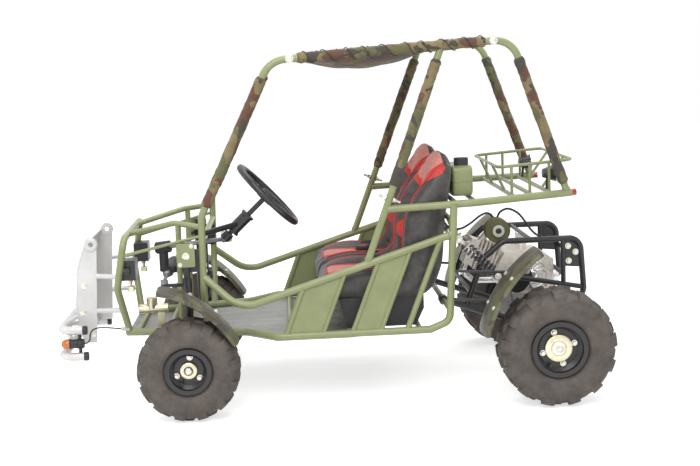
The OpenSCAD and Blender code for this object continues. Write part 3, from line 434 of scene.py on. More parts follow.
class Graph:
    """A node tree of one material, built from small steps."""

    def __init__(self, name: str) -> None:
        """Starts a material with one Principled shader.

        Args:
            name: the material's name.
        """
        self.material = bpy.data.materials.new(name)
        self.material.use_nodes = True
        self.tree = self.material.node_tree
        self.tree.nodes.clear()
        out = self.node("OutputMaterial", {})
        self.shader = self.node("BsdfPrincipled", {})
        self.tree.links.new(self.shader.outputs[0], out.inputs[0])
        self.coords = self.node("TexCoord", {}).outputs["Object"]

    def put(self, socket: Socket, value: Value) -> None:
        """Sets a socket to a number or colour, or links another socket to it.

        Args:
            socket: the input to fill.
            value: a number, a colour, a vector or another node's output.
        """
        if isinstance(value, Socket):
            self.tree.links.new(value, socket)
        elif socket.type == "RGBA":
            socket.default_value = (*value, 1.0)
        else:
            socket.default_value = value

    def node(self, kind: str, settings: Dict[str, str], **inputs: Value) -> bpy.types.Node:
        """A new node.

        Args:
            kind: its type, without the leading ShaderNode.
            settings: its own properties by name.
            inputs: its inputs by name, with _ for a blank.

        Returns:
            The node.
        """
        made = self.tree.nodes.new("ShaderNode" + kind)
        for name, value in settings.items():
            setattr(made, name, value)
        for name, value in inputs.items():
            self.put(made.inputs[name.replace("_", " ")], value)
        return made

    def set(self, **values: Value) -> None:
        """Sets the shader's sockets by name, with _ for a blank."""
        for name, value in values.items():
            self.put(self.shader.inputs[name.replace("_", " ")], value)

    def noise(
        self, scale: float, detail: float = 3.0, rough: float = 0.5, warp: float = 0.0,
        at: Optional[Socket] = None,
    ) -> Socket:
        """Fractal noise on object coordinates or at a given vector, about 0 to 1."""
        at = at or self.coords
        return self.node(
            "TexNoise", {}, Scale=scale, Detail=detail, Roughness=rough, Distortion=warp, Vector=at
        ).outputs[0]

    def cells(self, scale: float) -> Socket:
        """Distance to the nearest of scattered cell points."""
        return self.node("TexVoronoi", {}, Scale=scale, Vector=self.coords).outputs["Distance"]

    def waves(self, scale: float, axis: str) -> Socket:
        """Even bands along one axis."""
        bands = self.node("TexWave", {"bands_direction": axis}, Scale=scale, Vector=self.coords)
        return bands.outputs["Fac"]

    def placed(self, origin: Array) -> Socket:
        """Object coordinates about another origin."""
        moved = self.node("Mapping", {"vector_type": "TEXTURE"}, Location=tuple(origin), Vector=self.coords)
        return moved.outputs[0]

    def attribute(self, name: str) -> Socket:
        """A number stored on the mesh's points."""
        return self.node("Attribute", {"attribute_name": name}).outputs["Fac"]

    def math(self, kind: str, a: Value, b: Value) -> Socket:
        """One step of arithmetic.

        Args:
            kind: the operation.
            a: its first number.
            b: its second number.

        Returns:
            The socket that holds the result.
        """
        step = self.node("Math", {"operation": kind})
        self.put(step.inputs[0], a)
        self.put(step.inputs[1], b)
        return step.outputs[0]

    def span(self, t: Socket, lo: float, hi: float, out_lo: float = 0.0, out_hi: float = 1.0) -> Socket:
        """t mapped from lo..hi to another range, held at its ends."""
        held = self.node("MapRange", {}, Value=t, From_Min=lo, From_Max=hi, To_Min=out_lo, To_Max=out_hi)
        return held.outputs[0]

    def blend(self, t: Value, a: Value, b: Value) -> Socket:
        """Two colours mixed.

        Args:
            t: how much of b there is, 0 to 1.
            a: the colour where t is 0.
            b: the colour where t is 1.

        Returns:
            The socket that holds the colour.
        """
        both = self.node("Mix", {"data_type": "RGBA"})
        self.put(both.inputs[0], t)
        self.put(both.inputs[6], a)
        self.put(both.inputs[7], b)
        return both.outputs[2]

    def ramp(self, t: Socket, stops: Sequence[Tuple[float, Colour]]) -> Socket:
        """A colour for each level of t.

        Args:
            t: the level.
            stops: two levels and their colours, blended between.

        Returns:
            The socket that holds the colour.
        """
        scale = self.node("ValToRGB", {}, Fac=t)
        for stop, (place, colour) in zip(scale.color_ramp.elements, stops):
            stop.position = place
            stop.color = (*colour, 1.0)
        return scale.outputs[0]

    def bump(self, height: Socket, strength: float, depth: float, **under: Socket) -> Socket:
        """A normal bent by a height, over another one where Normal is given."""
        return self.node("Bump", {}, Height=height, Strength=strength, Distance=depth, **under).outputs[0]


def shade(colour: Colour, k: float) -> Colour:
    """A colour made lighter or darker."""
    return tuple(min(1.0, c * k) for c in colour)


@dataclass(frozen=True)
class Paint:
    """Sprayed or moulded finish: slow shifts of tone, fine peel, dust and small scuffs."""

    name: str
    colour: Colour
    rough: float = 0.38
    metal: float = 0.0
    peel: float = 0.08
    scuff: Colour = (0.45, 0.45, 0.42)
    scuffs: float = 0.25
    coat: float = 0.0
    grain: float = 700.0

    def material(self) -> bpy.types.Material:
        """The finish as a node material."""
        g = Graph(self.name)
        tone = g.ramp(g.noise(9, 4, 0.6), [(0.3, shade(self.colour, 0.88)), (0.7, shade(self.colour, 1.1))])
        worn = g.math("MULTIPLY", g.span(g.noise(130, 6, 0.7), 0.66, 0.74), self.scuffs)
        g.set(Base_Color=g.blend(worn, tone, self.scuff), Metallic=self.metal)
        g.set(Roughness=g.span(g.noise(24, 4), 0.3, 0.7, self.rough - 0.06, self.rough + 0.09))
        g.set(Coat_Weight=self.coat, Coat_Roughness=0.15)
        g.set(Normal=g.bump(g.noise(self.grain, 2), self.peel, 0.0006))
        return g.material


@dataclass(frozen=True)
class Camouflage:
    """Camouflage on cloth or plastic: olive, brown and charcoal blots laid over khaki, each on its own."""

    name: str
    scale: float = 11.0
    weave: float = 0.5
    rough: float = 0.88
    light: float = 1.0
    ground: Colour = (0.250, 0.196, 0.096)
    brown: Colour = (0.150, 0.070, 0.048)

    def material(self) -> bpy.types.Material:
        """The finish as a node material."""
        g = Graph(self.name)
        k = self.light
        blots = shade(self.ground, k)
        inks = (
            ((0.150, 0.145, 0.066), 0.0, 0.80, 0.495),
            (self.brown, 3.1, 0.9, 0.535),
            ((0.074, 0.069, 0.055), 7.7, 1.15, 0.580),
        )
        for ink, seed, fine, level in inks:
            at = g.placed(pt(seed, 1.7 * seed, -seed))
            spread = g.noise(self.scale * fine, 2.4, 0.5, 0.7, at)
            blots = g.blend(g.span(spread, level - 0.008, level + 0.008), blots, shade(ink, k))
        fade = g.span(g.noise(38, 5, 0.65), 0.25, 0.8, 0.72, 1.18)
        faded = g.node("VectorMath", {"operation": "MULTIPLY"})
        g.put(faded.inputs[0], blots)
        g.put(faded.inputs[1], fade)
        g.set(Base_Color=faded.outputs[0], Roughness=self.rough, Sheen_Weight=0.3 * self.weave)
        threads = g.math("ADD", g.waves(520, "DIAGONAL"), g.waves(560, "Z"))
        g.set(Normal=g.bump(threads, 0.35 * self.weave, 0.0008, Normal=g.bump(g.noise(60, 5), 0.3, 0.003)))
        return g.material


@dataclass(frozen=True)
class Rubber:
    """Tyre rubber: charcoal with a dusty bloom and a fine moulded grain."""

    name: str
    colour: Colour = (0.082, 0.070, 0.063)
    dust: Colour = (0.152, 0.126, 0.108)

    def material(self) -> bpy.types.Material:
        """The finish as a node material."""
        g = Graph(self.name)
        bloom = g.span(g.noise(17, 6, 0.7), 0.38, 0.75)
        g.set(Base_Color=g.blend(bloom, self.colour, self.dust))
        g.set(Roughness=g.span(g.noise(40, 4), 0.3, 0.7, 0.58, 0.82))
        g.set(Normal=g.bump(g.noise(420, 3), 0.25, 0.001))
        return g.material


@dataclass(frozen=True)
class Metal:
    """Bare or plated metal: cast, zinc, chrome or steel, by its colour and grain."""

    name: str
    colour: Colour
    rough: float = 0.35
    cast: float = 0.2
    grain: float = 320.0
    stain: Colour = (0.25, 0.22, 0.18)
    stains: float = 0.25

    def material(self) -> bpy.types.Material:
        """The finish as a node material."""
        g = Graph(self.name)
        tarnish = g.math("MULTIPLY", g.span(g.noise(28, 6, 0.7), 0.5, 0.78), self.stains)
        tone = g.ramp(g.noise(60, 3), [(0.3, shade(self.colour, 0.86)), (0.7, shade(self.colour, 1.08))])
        g.set(Base_Color=g.blend(tarnish, tone, self.stain), Metallic=0.9)
        g.set(Roughness=g.span(g.noise(45, 4), 0.3, 0.7, self.rough - 0.08, self.rough + 0.12))
        g.set(Normal=g.bump(g.noise(self.grain, 4, 0.6), self.cast, 0.0008))
        return g.material


@dataclass(frozen=True)
class Lens:
    """Moulded lamp lens with prism ribs under a smooth gloss."""

    name: str
    colour: Colour
    ribs: float = 70.0
    clear: float = 0.25

    def material(self) -> bpy.types.Material:
        """The finish as a node material."""
        g = Graph(self.name)
        prism = g.math("ADD", g.waves(self.ribs, "Y"), g.waves(self.ribs, "Z"))
        g.set(Base_Color=g.blend(g.span(prism, 0.4, 1.6), shade(self.colour, 0.7), self.colour))
        g.set(Roughness=0.14, IOR=1.49, Transmission_Weight=self.clear, Coat_Weight=0.6)
        g.set(Normal=g.bump(prism, 0.4, 0.001))
        return g.material


@dataclass(frozen=True)
class SeatCover:
    """Seat upholstery: black grained vinyl, red cloth and a paler mesh down the middle.

    The mesh stores how far a point lies from the middle, and how far inside the front face it is.
    """

    name: str

    def material(self) -> bpy.types.Material:
        """The finish as a node material."""
        g = Graph(self.name)
        off = g.attribute("off_middle")
        front = g.attribute("front_face")
        inside = g.span(front, -0.0015, 0.0015)
        red = g.math("MULTIPLY", inside, g.span(off, 0.999, 1.001, 1.0, 0.0))
        pale = g.math("MULTIPLY", inside, g.span(off, 0.698, 0.702, 1.0, 0.0))
        grain = g.cells(420)
        holes = g.cells(260)
        vinyl = g.ramp(g.noise(30, 5, 0.65), [(0.3, (0.032, 0.030, 0.029)), (0.75, (0.090, 0.081, 0.074))])
        cloth = g.ramp(g.noise(180, 4), [(0.3, (0.56, 0.045, 0.038)), (0.7, (0.78, 0.085, 0.070))])
        net = g.ramp(holes, [(0.15, (0.30, 0.07, 0.07)), (0.4, (0.76, 0.30, 0.26))])
        g.set(Base_Color=g.blend(pale, g.blend(red, vinyl, cloth), net))
        g.set(Roughness=g.span(red, 0.0, 1.0, 0.46, 0.85), Sheen_Weight=0.15)
        deep = g.bump(grain, 0.18, 0.0012)
        g.set(Normal=g.bump(g.math("MULTIPLY", holes, red), 0.5, 0.001, Normal=deep))
        return g.material


Finish = Union[Paint, Camouflage, Rubber, Metal, Lens, SeatCover]

GREEN = Paint("army_green_paint", (0.285, 0.318, 0.150), 0.34, peel=0.05, coat=0.15, scuff=(0.40, 0.42, 0.26))
BLACK = Paint("black_powder_coat", (0.022, 0.022, 0.024), 0.36, scuff=(0.2, 0.19, 0.18), coat=0.1)
PLASTIC = Paint("black_moulded_plastic", (0.03, 0.03, 0.031), 0.55, peel=0.3, scuff=(0.16, 0.15, 0.14))
SILVER = Paint("silver_paint", (0.71, 0.705, 0.70), 0.40, 0.25, scuff=(0.35, 0.34, 0.33), scuffs=0.3)
PAN = Paint("galvanised_pan", (0.36, 0.36, 0.345), 0.5, 0.3, scuff=(0.2, 0.19, 0.17), scuffs=0.5)
CAMO_CLOTH = Camouflage("camouflage_cloth", 12.0)
CAMO_ROOF = Camouflage("camouflage_roof_cloth", 9.0, light=0.8)
CAMO_PLASTIC = Camouflage(
    "camouflage_plastic", 13.0, weave=0.12, rough=0.45, light=0.8,
    ground=(0.168, 0.170, 0.092), brown=(0.098, 0.078, 0.052),
)
TYRE = Rubber("tyre_rubber")
CAST = Metal("cast_aluminium", (0.86, 0.81, 0.75), 0.50, 0.35)
BRIGHT = Metal("bright_aluminium", (0.78, 0.78, 0.78), 0.28, 0.12)
ZINC = Metal("yellow_zinc", (0.80, 0.75, 0.54), 0.36, 0.08)
PALE_ZINC = Metal("pale_zinc", (0.76, 0.74, 0.66), 0.3, 0.08)
CHROME = Metal("chrome", (0.82, 0.83, 0.84), 0.12, 0.02, stains=0.08)
STEEL = Metal("dark_steel", (0.28, 0.28, 0.29), 0.4, 0.15)
AMBER = Lens("amber_lens", (0.86, 0.25, 0.015))
RED_LENS = Lens("red_lens", (0.55, 0.018, 0.015))
CLEAR = Lens("clear_lens", (0.8, 0.82, 0.83), clear=0.5)
FOAM = Paint("olive_filter_foam", (0.16, 0.155, 0.075), 0.85, peel=0.9, grain=260)
WHITE_CAP = Paint("white_cap", (0.72, 0.70, 0.64), 0.45)
RED_PIPE = Paint("red_piping", (0.60, 0.03, 0.025), 0.5, peel=0.3)
CORD = Paint("black_cable", (0.02, 0.02, 0.021), 0.5, peel=0.2)
SPRING = Metal("spring_steel", (0.16, 0.16, 0.165), 0.26, 0.04, stains=0.1)
LACE = Paint("dark_lace", (0.045, 0.04, 0.032), 0.85, peel=0.8, grain=900)
WEB = Paint("belt_webbing", (0.025, 0.025, 0.026), 0.8, peel=0.9, grain=1100)
SEAT = SeatCover("seat_cover")

_made: Dict[str, bpy.types.Material] = {}


def material_of(finish: Finish) -> bpy.types.Material:
    """The finish's material, made once.

    Args:
        finish: the finish.

    Returns:
        Its material.
    """
    if finish.name not in _made:
        _made[finish.name] = finish.material()
    return _made[finish.name]


def tidy_mesh(mesh: bpy.types.Mesh, angle: float, outward: bool) -> None:
    """Merges doubled points, points the faces outwards and marks the sharp edges.

    Args:
        mesh: the mesh to change.
        angle: edges bent by more than this many degrees stay sharp.
        outward: whether to recalculate the normals of a closed shape.
    """
    bm = bmesh.new()
    bm.from_mesh(mesh)
    bmesh.ops.remove_doubles(bm, verts=bm.verts, dist=2e-6)
    bmesh.ops.dissolve_degenerate(bm, edges=bm.edges, dist=1e-6)
    if outward:
        bmesh.ops.recalc_face_normals(bm, faces=bm.faces)
    bm.to_mesh(mesh)
    bm.free()
    smooth_faces(mesh)
    mesh.set_sharp_from_angle(angle=math.radians(angle))


def smooth_faces(mesh: bpy.types.Mesh) -> None:
    """Shades every face smooth."""
    mesh.polygons.foreach_set("use_smooth", np.ones(len(mesh.polygons), bool))


def read_points(mesh: bpy.types.Mesh, what: str = "co") -> Array:
    """The mesh's points, or what else they hold.

    Args:
        mesh: the mesh.
        what: "co" for their places, "normal" for their normals.

    Returns:
        The values, points by 3.
    """
    values = np.zeros(len(mesh.vertices) * 3, np.float32)
    mesh.vertices.foreach_get(what, values)
    return values.reshape(-1, 3).astype(float)


def write_points(mesh: bpy.types.Mesh, points: Array) -> None:
    """Moves the mesh's points to these places."""
    mesh.vertices.foreach_set("co", points.astype(np.float32).ravel())


def add_object(name: str, data: bpy.types.ID) -> bpy.types.Object:
    """A new object in the scene.

    Args:
        name: its name.
        data: its mesh, lamp or camera.

    Returns:
        The object.
    """
    obj = bpy.data.objects.new(name, data)
    bpy.context.scene.collection.objects.link(obj)
    return obj


def piece(
    name: str, patch: Patch, finish: Finish, angle: float = 38.0, body: Body = Body.CHASSIS,
    closed: bool = True,
) -> bpy.types.Object:
    """Makes a patch an object that rides on a body.

    Args:
        name: the piece's name.
        patch: its surface.
        finish: its finish.
        angle: edges bent by more than this many degrees stay sharp.
        body: the body that it moves with.
        closed: whether its surface closes on itself.

    Returns:
        The object.
    """
    mesh = bpy.data.meshes.new(name)
    loops = np.concatenate([patch.quads.ravel(), patch.tris.ravel()]).astype(np.int32)
    fours, threes = len(patch.quads), len(patch.tris)
    starts = np.concatenate([np.arange(fours) * 4, fours * 4 + np.arange(threes) * 3])
    mesh.vertices.add(len(patch.verts))
    write_points(mesh, patch.verts)
    mesh.loops.add(len(loops))
    mesh.loops.foreach_set("vertex_index", loops)
    mesh.polygons.add(fours + threes)
    mesh.polygons.foreach_set("loop_start", starts.astype(np.int32))
    mesh.update(calc_edges=True)
    mesh.validate()
    tidy_mesh(mesh, angle, closed)
    mesh.materials.append(material_of(finish))
    obj = add_object(name, mesh)
    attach(obj, body.value)
    log.info("piece %s: %d faces", name, len(mesh.polygons))
    return obj


def background_rays(tree: bpy.types.NodeTree) -> Socket:
    """1 on the rays that show the background: to the camera, off a gloss or through glass.

    Args:
        tree: the node tree that the steps are added to.

    Returns:
        The socket that holds it.
    """
    rays = tree.nodes.new("ShaderNodeLightPath")
    seen = rays.outputs["Is Camera Ray"]
    for kind in ("Is Glossy Ray", "Is Transmission Ray"):
        most = tree.nodes.new("ShaderNodeMath")
        most.operation = "MAXIMUM"
        tree.links.new(seen, most.inputs[0])
        tree.links.new(rays.outputs[kind], most.inputs[1])
        seen = most.outputs[0]
    return seen


@dataclass
class Studio:
    """Floor, soft lamps and the camera of the photograph."""

    eye: Tuple[float, float, float] = (0.136, 4.652, 1.223)
    roll: float = -0.0387
    lens: float = 63.9
    floor_glow: float = 0.62
    fill: float = 0.55
    target: Tuple[float, float, float] = (-0.1, 0.0, 0.45)

    def build(self) -> None:
        """Makes the floor, the lamps, the world and the camera."""
        self.floor()
        self.lamps()
        self.world()
        self.camera()

    def floor(self) -> None:
        """A pale floor, wide and plain."""
        side = np.linspace(-14, 14, 3)
        x, y = np.meshgrid(side, side, indexing="ij")
        mesh = bpy.data.meshes.new("floor")
        patch = grid(np.stack([y, x, np.full_like(x, -0.0005)], -1))
        mesh.from_pydata(patch.verts.tolist(), [], patch.quads.tolist())
        obj = add_object("floor", mesh)
        g = Graph("pale_floor")
        seen = g.math("MULTIPLY", background_rays(g.tree), self.floor_glow)
        g.set(Base_Color=(0.86, 0.86, 0.86), Roughness=0.9, Specular_IOR_Level=0.0)
        g.set(Emission_Color=(1.0, 1.0, 1.0), Emission_Strength=seen)
        mesh.materials.append(g.material)

    def lamps(self) -> None:
        """Four broad lamps: over the near side, overhead, and low ones ahead and behind."""
        for name, place, size, power in (
            ("near_softbox", (0.6, 3.4, 3.6), 3.0, 112),
            ("top_softbox", (-0.4, -0.6, 4.2), 3.4, 80),
            ("front_softbox", (4.2, 0.4, 1.9), 2.6, 24),
            ("rear_softbox", (-4.2, 0.6, 2.1), 2.6, 8),
        ):
            data = bpy.data.lights.new(name, "AREA")
            data.size = size
            data.energy = power
            obj = add_object(name, data)
            obj.location = place
            aim = Vector(self.target) - Vector(place)
            obj.rotation_euler = aim.to_track_quat("-Z", "Y").to_euler()

    def world(self) -> None:
        """Even pale light, and white behind the kart."""
        world = bpy.data.worlds.new("studio")
        bpy.context.scene.world = world
        world.use_nodes = True
        tree = world.node_tree
        tree.nodes.clear()
        out = tree.nodes.new("ShaderNodeOutputWorld")
        choose = tree.nodes.new("ShaderNodeMixShader")
        tree.links.new(background_rays(tree), choose.inputs[0])
        for k, strength in enumerate((self.fill, 1.0)):
            glow = tree.nodes.new("ShaderNodeBackground")
            glow.inputs["Color"].default_value = (1.0, 1.0, 1.0, 1.0)
            glow.inputs["Strength"].default_value = strength
            tree.links.new(glow.outputs[0], choose.inputs[k + 1])
        tree.links.new(choose.outputs[0], out.inputs[0])

    def camera(self) -> None:
        """The camera that was fitted to the photograph."""
        ahead = Vector((-0.04899, -0.98880, -0.14103)).normalized()
        right0 = Vector((-0.99878, 0.04948, 0.0)).normalized()
        up0 = right0.cross(ahead).normalized()
        c, s = math.cos(self.roll), math.sin(self.roll)
        right = right0 * c + up0 * s
        up = up0 * c - right0 * s
        turn = Matrix((right, up, -ahead)).transposed().to_4x4()
        data = bpy.data.cameras.new("camera")
        data.lens = self.lens
        data.sensor_width = 36.0
        data.dof.use_dof = False
        obj = add_object("camera", data)
        obj.matrix_world = Matrix.Translation(Vector(self.eye)) @ turn
        bpy.context.scene.camera = obj


class Chassis:
    """Finishes of the CAD nodes."""

    def finishes(self) -> Dict[str, Finish]:
        """The finish of each CAD node, by the node's name."""
        groups = (
            (GREEN, "sill_tubes cross_tubes side_rails frame_posts side_panels rack_rails roll_pillars"),
            (GREEN, "roof_rails nose_hoop hood_rails fuel_tank basket_ring basket_uprights"),
            (BLACK, "front_suspension column_mount engine_cage cage_bars swing_arms pedals left_knuckle"),
            (BLACK, "right_knuckle left_front_rim right_front_rim rear_rims steering_wheel"),
            (BLACK, "rear_lamps headlamps"),
            (PLASTIC, "seat_bases tank_cap indicator_bodies steering_gear left_seat right_seat"),
            (SILVER, "front_guard guard_stays bumper_bars"),
            (TYRE, "left_front_tyre right_front_tyre rear_tyres"),
            (CAMO_PLASTIC, "left_front_mudguard right_front_mudguard rear_mudguards"),
            (PAN, "floor_pan"),
            (CAMO_CLOTH, "tube_sleeves"),
            (CAMO_ROOF, "roof_cover"),
            (CLEAR, "lamp_lenses"),
            (AMBER, "indicator_lenses"),
            (RED_LENS, "tail_lamps"),
            (CAST, "engine"),
            (FOAM, "air_filter"),
            (BRIGHT, "exhaust"),
            (ZINC, "brake_cylinder"),
            (STEEL, "shocks chain lower_shaft steering_rack rear_axle"),
        )
        return {name: finish for finish, names in groups for name in names.split()}

    def build(self) -> None:
        """Gives every CAD node its finish."""
        for name, finish in self.finishes().items():
            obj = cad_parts[name]
            obj.data.materials.clear()
            obj.data.materials.append(material_of(finish))


@dataclass
class RollCage:
    """Padded cloth sleeves, the laced roof cloth and the bolts of the roll cage."""

    sleeve_r: float = 0.0183
    pillar_r: float = 0.0125
    rail_r: float = 0.013
    sag: float = 0.052
    rear_sag: float = 0.014
    edge_in: float = 0.0196
    lace_pitch: float = 0.068

    def build(self) -> None:
        """Makes the sleeves, the cloth, the lacing and the bolts."""
        self.sleeves()
        self.cloth()
        self.lacing()
        self.fixings()

    def sleeve(self, p: Array, q: Array, bore: float, seed: float) -> Patch:
        """A gathered cloth tube: radius with slow lumps, fine puckers and a hem at each end.

        Args:
            p: its low end.
            q: its high end.
            bore: radius of the tube inside it.
            seed: shifts its wrinkles.

        Returns:
            The patch, with an inner wall on the tube.
        """
        n, around = 120, 40
        line = even_line(p, q, n)
        axis = unit(q - p)
        u, v = across(axis)
        length = np.linalg.norm(q - p)
        s = np.linspace(0, length, n)[:, None]
        a = ring_angles(around)[None, :]
        edge = np.minimum(s, length - s)
        hem = 0.0012 * np.exp(-(((edge - 0.010) / 0.004) ** 2)) - 0.004 * np.exp(-edge / 0.004)
        puckers = 0.0008 * np.sin(s * 230 + 2 * np.sin(a + seed) + seed) * np.exp(-edge / 0.09)
        ring = np.cos(a)[..., None] * u + np.sin(a)[..., None] * v
        rough = line[:, None] + ring * self.sleeve_r
        lumps = 0.0013 * wrinkle(rough, 0.045, seed) + 0.0007 * wrinkle(rough, 0.016, seed + 2)
        seam = 0.0012 * np.exp(-((np.angle(np.exp(1j * (a - 2.0 - seed))) / 0.10) ** 2))
        r = np.maximum(self.sleeve_r + hem + puckers + lumps + seam, bore + 0.0009)
        outer = line[:, None] + ring * r[..., None]
        inner = (line[:, None] + ring * (bore + 0.0003))[::-1]
        return grid(np.concatenate([outer, inner]), wrap_rows=True, wrap_cols=True)

    def sleeves(self) -> None:
        """Four sleeves a side, over the pillars and the roof rail."""
        a_high, b_high, c_high = A_TOP[2] - 0.058, B_HEAD[2] - 0.048, C_TOP[2] - 0.064
        ends = {
            "front_pillar": (at_z(A_FOOT, A_TOP, 0.724), at_z(A_FOOT, A_TOP, a_high), self.pillar_r),
            "middle_pillar": (at_z(B_FOOT, B_HEAD, 0.772), at_z(B_FOOT, B_HEAD, b_high), self.pillar_r),
            "rear_pillar": (at_z(C_FOOT, C_TOP, 0.752), at_z(C_FOOT, C_TOP, c_high), self.pillar_r),
            "roof_rail": (mix(A_BOLT, C_BOLT, 0.04), mix(A_BOLT, C_BOLT, 0.96), self.rail_r),
        }
        made = []
        for k, (name, (p, q, bore)) in enumerate(ends.items()):
            for side, word in NAMED_SIDES:
                ends_here = (p, q) if side > 0 else (flip(p), flip(q))
                patch = self.sleeve(*ends_here, bore, k * 1.9 + side)
                obj = piece(f"{word}_{name}_sleeve", patch, CAMO_CLOTH, 60)
                made.append(obj)
        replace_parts(made[0], "tube_sleeves")

    def cloth(self) -> None:
        """The roof cloth: held along both rails, sagging between, with puckers at the lacing."""
        rows, cols = 150, 60
        p, q = mix(A_BOLT, C_BOLT, 0.04), mix(A_BOLT, C_BOLT, 0.96)
        half = A_BOLT[1] - self.edge_in
        u = np.linspace(0, 1, rows)[:, None]
        v = np.linspace(-1, 1, cols)[None, :]
        x = p[0] + (q[0] - p[0]) * u + 0 * v
        at_rail = p[2] + (q[2] - p[2]) * u
        split = (p[0] - B_HEAD[0]) / (p[0] - q[0])
        front = np.clip(u / split, 0, 1)
        back = np.clip((u - split) / (1 - split), 0, 1)
        hang = self.sag * 4 * front * (1 - front) + self.rear_sag * 4 * back * (1 - back)
        belly = (1 - np.abs(v) ** 2.6) ** 0.8
        pull = 0.004 * np.abs(v) ** 5 * np.cos(2 * math.pi * (x - p[0]) / self.lace_pitch)
        y = v * half + 0 * x
        folds = 0.0025 * wrinkle(np.stack([x, y, 0 * x], -1), 0.07, 1.0) * (1 - np.abs(v) ** 4)
        z = at_rail - hang * belly + pull + folds - 0.004
        points = np.stack([x, y, z], -1)
        obj = piece("roof_cloth", grid(points), CAMO_ROOF, 80, closed=False)
        wall = obj.modifiers.new("cloth_thickness", "SOLIDIFY")
        wall.thickness = 0.0016
        wall.offset = 0.0
        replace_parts(obj, "roof_cover")

    def lacing(self) -> None:
        """A dark lace wound along each roof rail: a helix with an uneven pitch."""
        p, q = mix(A_BOLT, C_BOLT, 0.05), mix(A_BOLT, C_BOLT, 0.95)
        axis = unit(q - p)
        u, v = across(axis)
        length = np.linalg.norm(q - p)
        s = np.linspace(0, length, 900)
        a = 2 * math.pi * (s + 0.008 * np.sin(s * 31)) / self.lace_pitch
        r = self.sleeve_r + 0.0030
        path = p + axis * s[:, None] + r * (np.cos(a)[:, None] * u + np.sin(a)[:, None] * v)
        piece("roof_lacing", sweep(path, 0.0016, 6, axis).both(), LACE, 60)

    def fixings(self) -> None:
        """Round bolt heads at the ends of the roof rails and clamps on the middle pillars."""
        dome = [[0, 0], [0.0145, 0], [0.0145, 0.002], [0.0105, 0.0025], [0.010, 0.006]]
        dome += [[0.006, 0.0085], [0, 0.009]]
        nut = [[0, 0], [0.011, 0], [0.011, 0.007], [0.007, 0.0085], [0, 0.0085]]
        end = [[0, 0], [0.004, 0], [0.004, 0.016], [0, 0.016]]
        heads = []
        for p in (A_BOLT, C_BOLT):
            heads.append(lathe(dome, p + LEFT * self.pillar_r, LEFT, 28))
            heads.append(lathe(nut, p - LEFT * self.pillar_r, -LEFT, 6))
        clamp = at_z(B_FOOT, B_HEAD, 0.728)
        out = unit(np.cross(B_HEAD - B_FOOT, LEFT))
        for s in SIDES:
            heads.append(bolts([clamp + out * self.pillar_r * s], out * s, 0.007, 0.012))
            heads.append(lathe(end, clamp + out * 0.024 * s, out * s, 12))
        piece("cage_bolts", Patch.join(heads).both(), PALE_ZINC, 30)


# Side views of the seat's middle and of its bolsters: mm ahead of the rear axle, and mm up
SEAT_MIDDLE = [
    [424, 377], [804, 377], [813, 405], [801, 447], [690, 456], [512, 440], [474, 466],
    [448, 560], [420, 668], [390, 838], [358, 884], [328, 848], [352, 656],
]
SEAT_SIDE = [
    [424, 377], [800, 377], [808, 410], [792, 454], [690, 478], [560, 480], [523, 515],
    [512, 590], [486, 692], [402, 806], [352, 846], [329, 836], [354, 656],
]


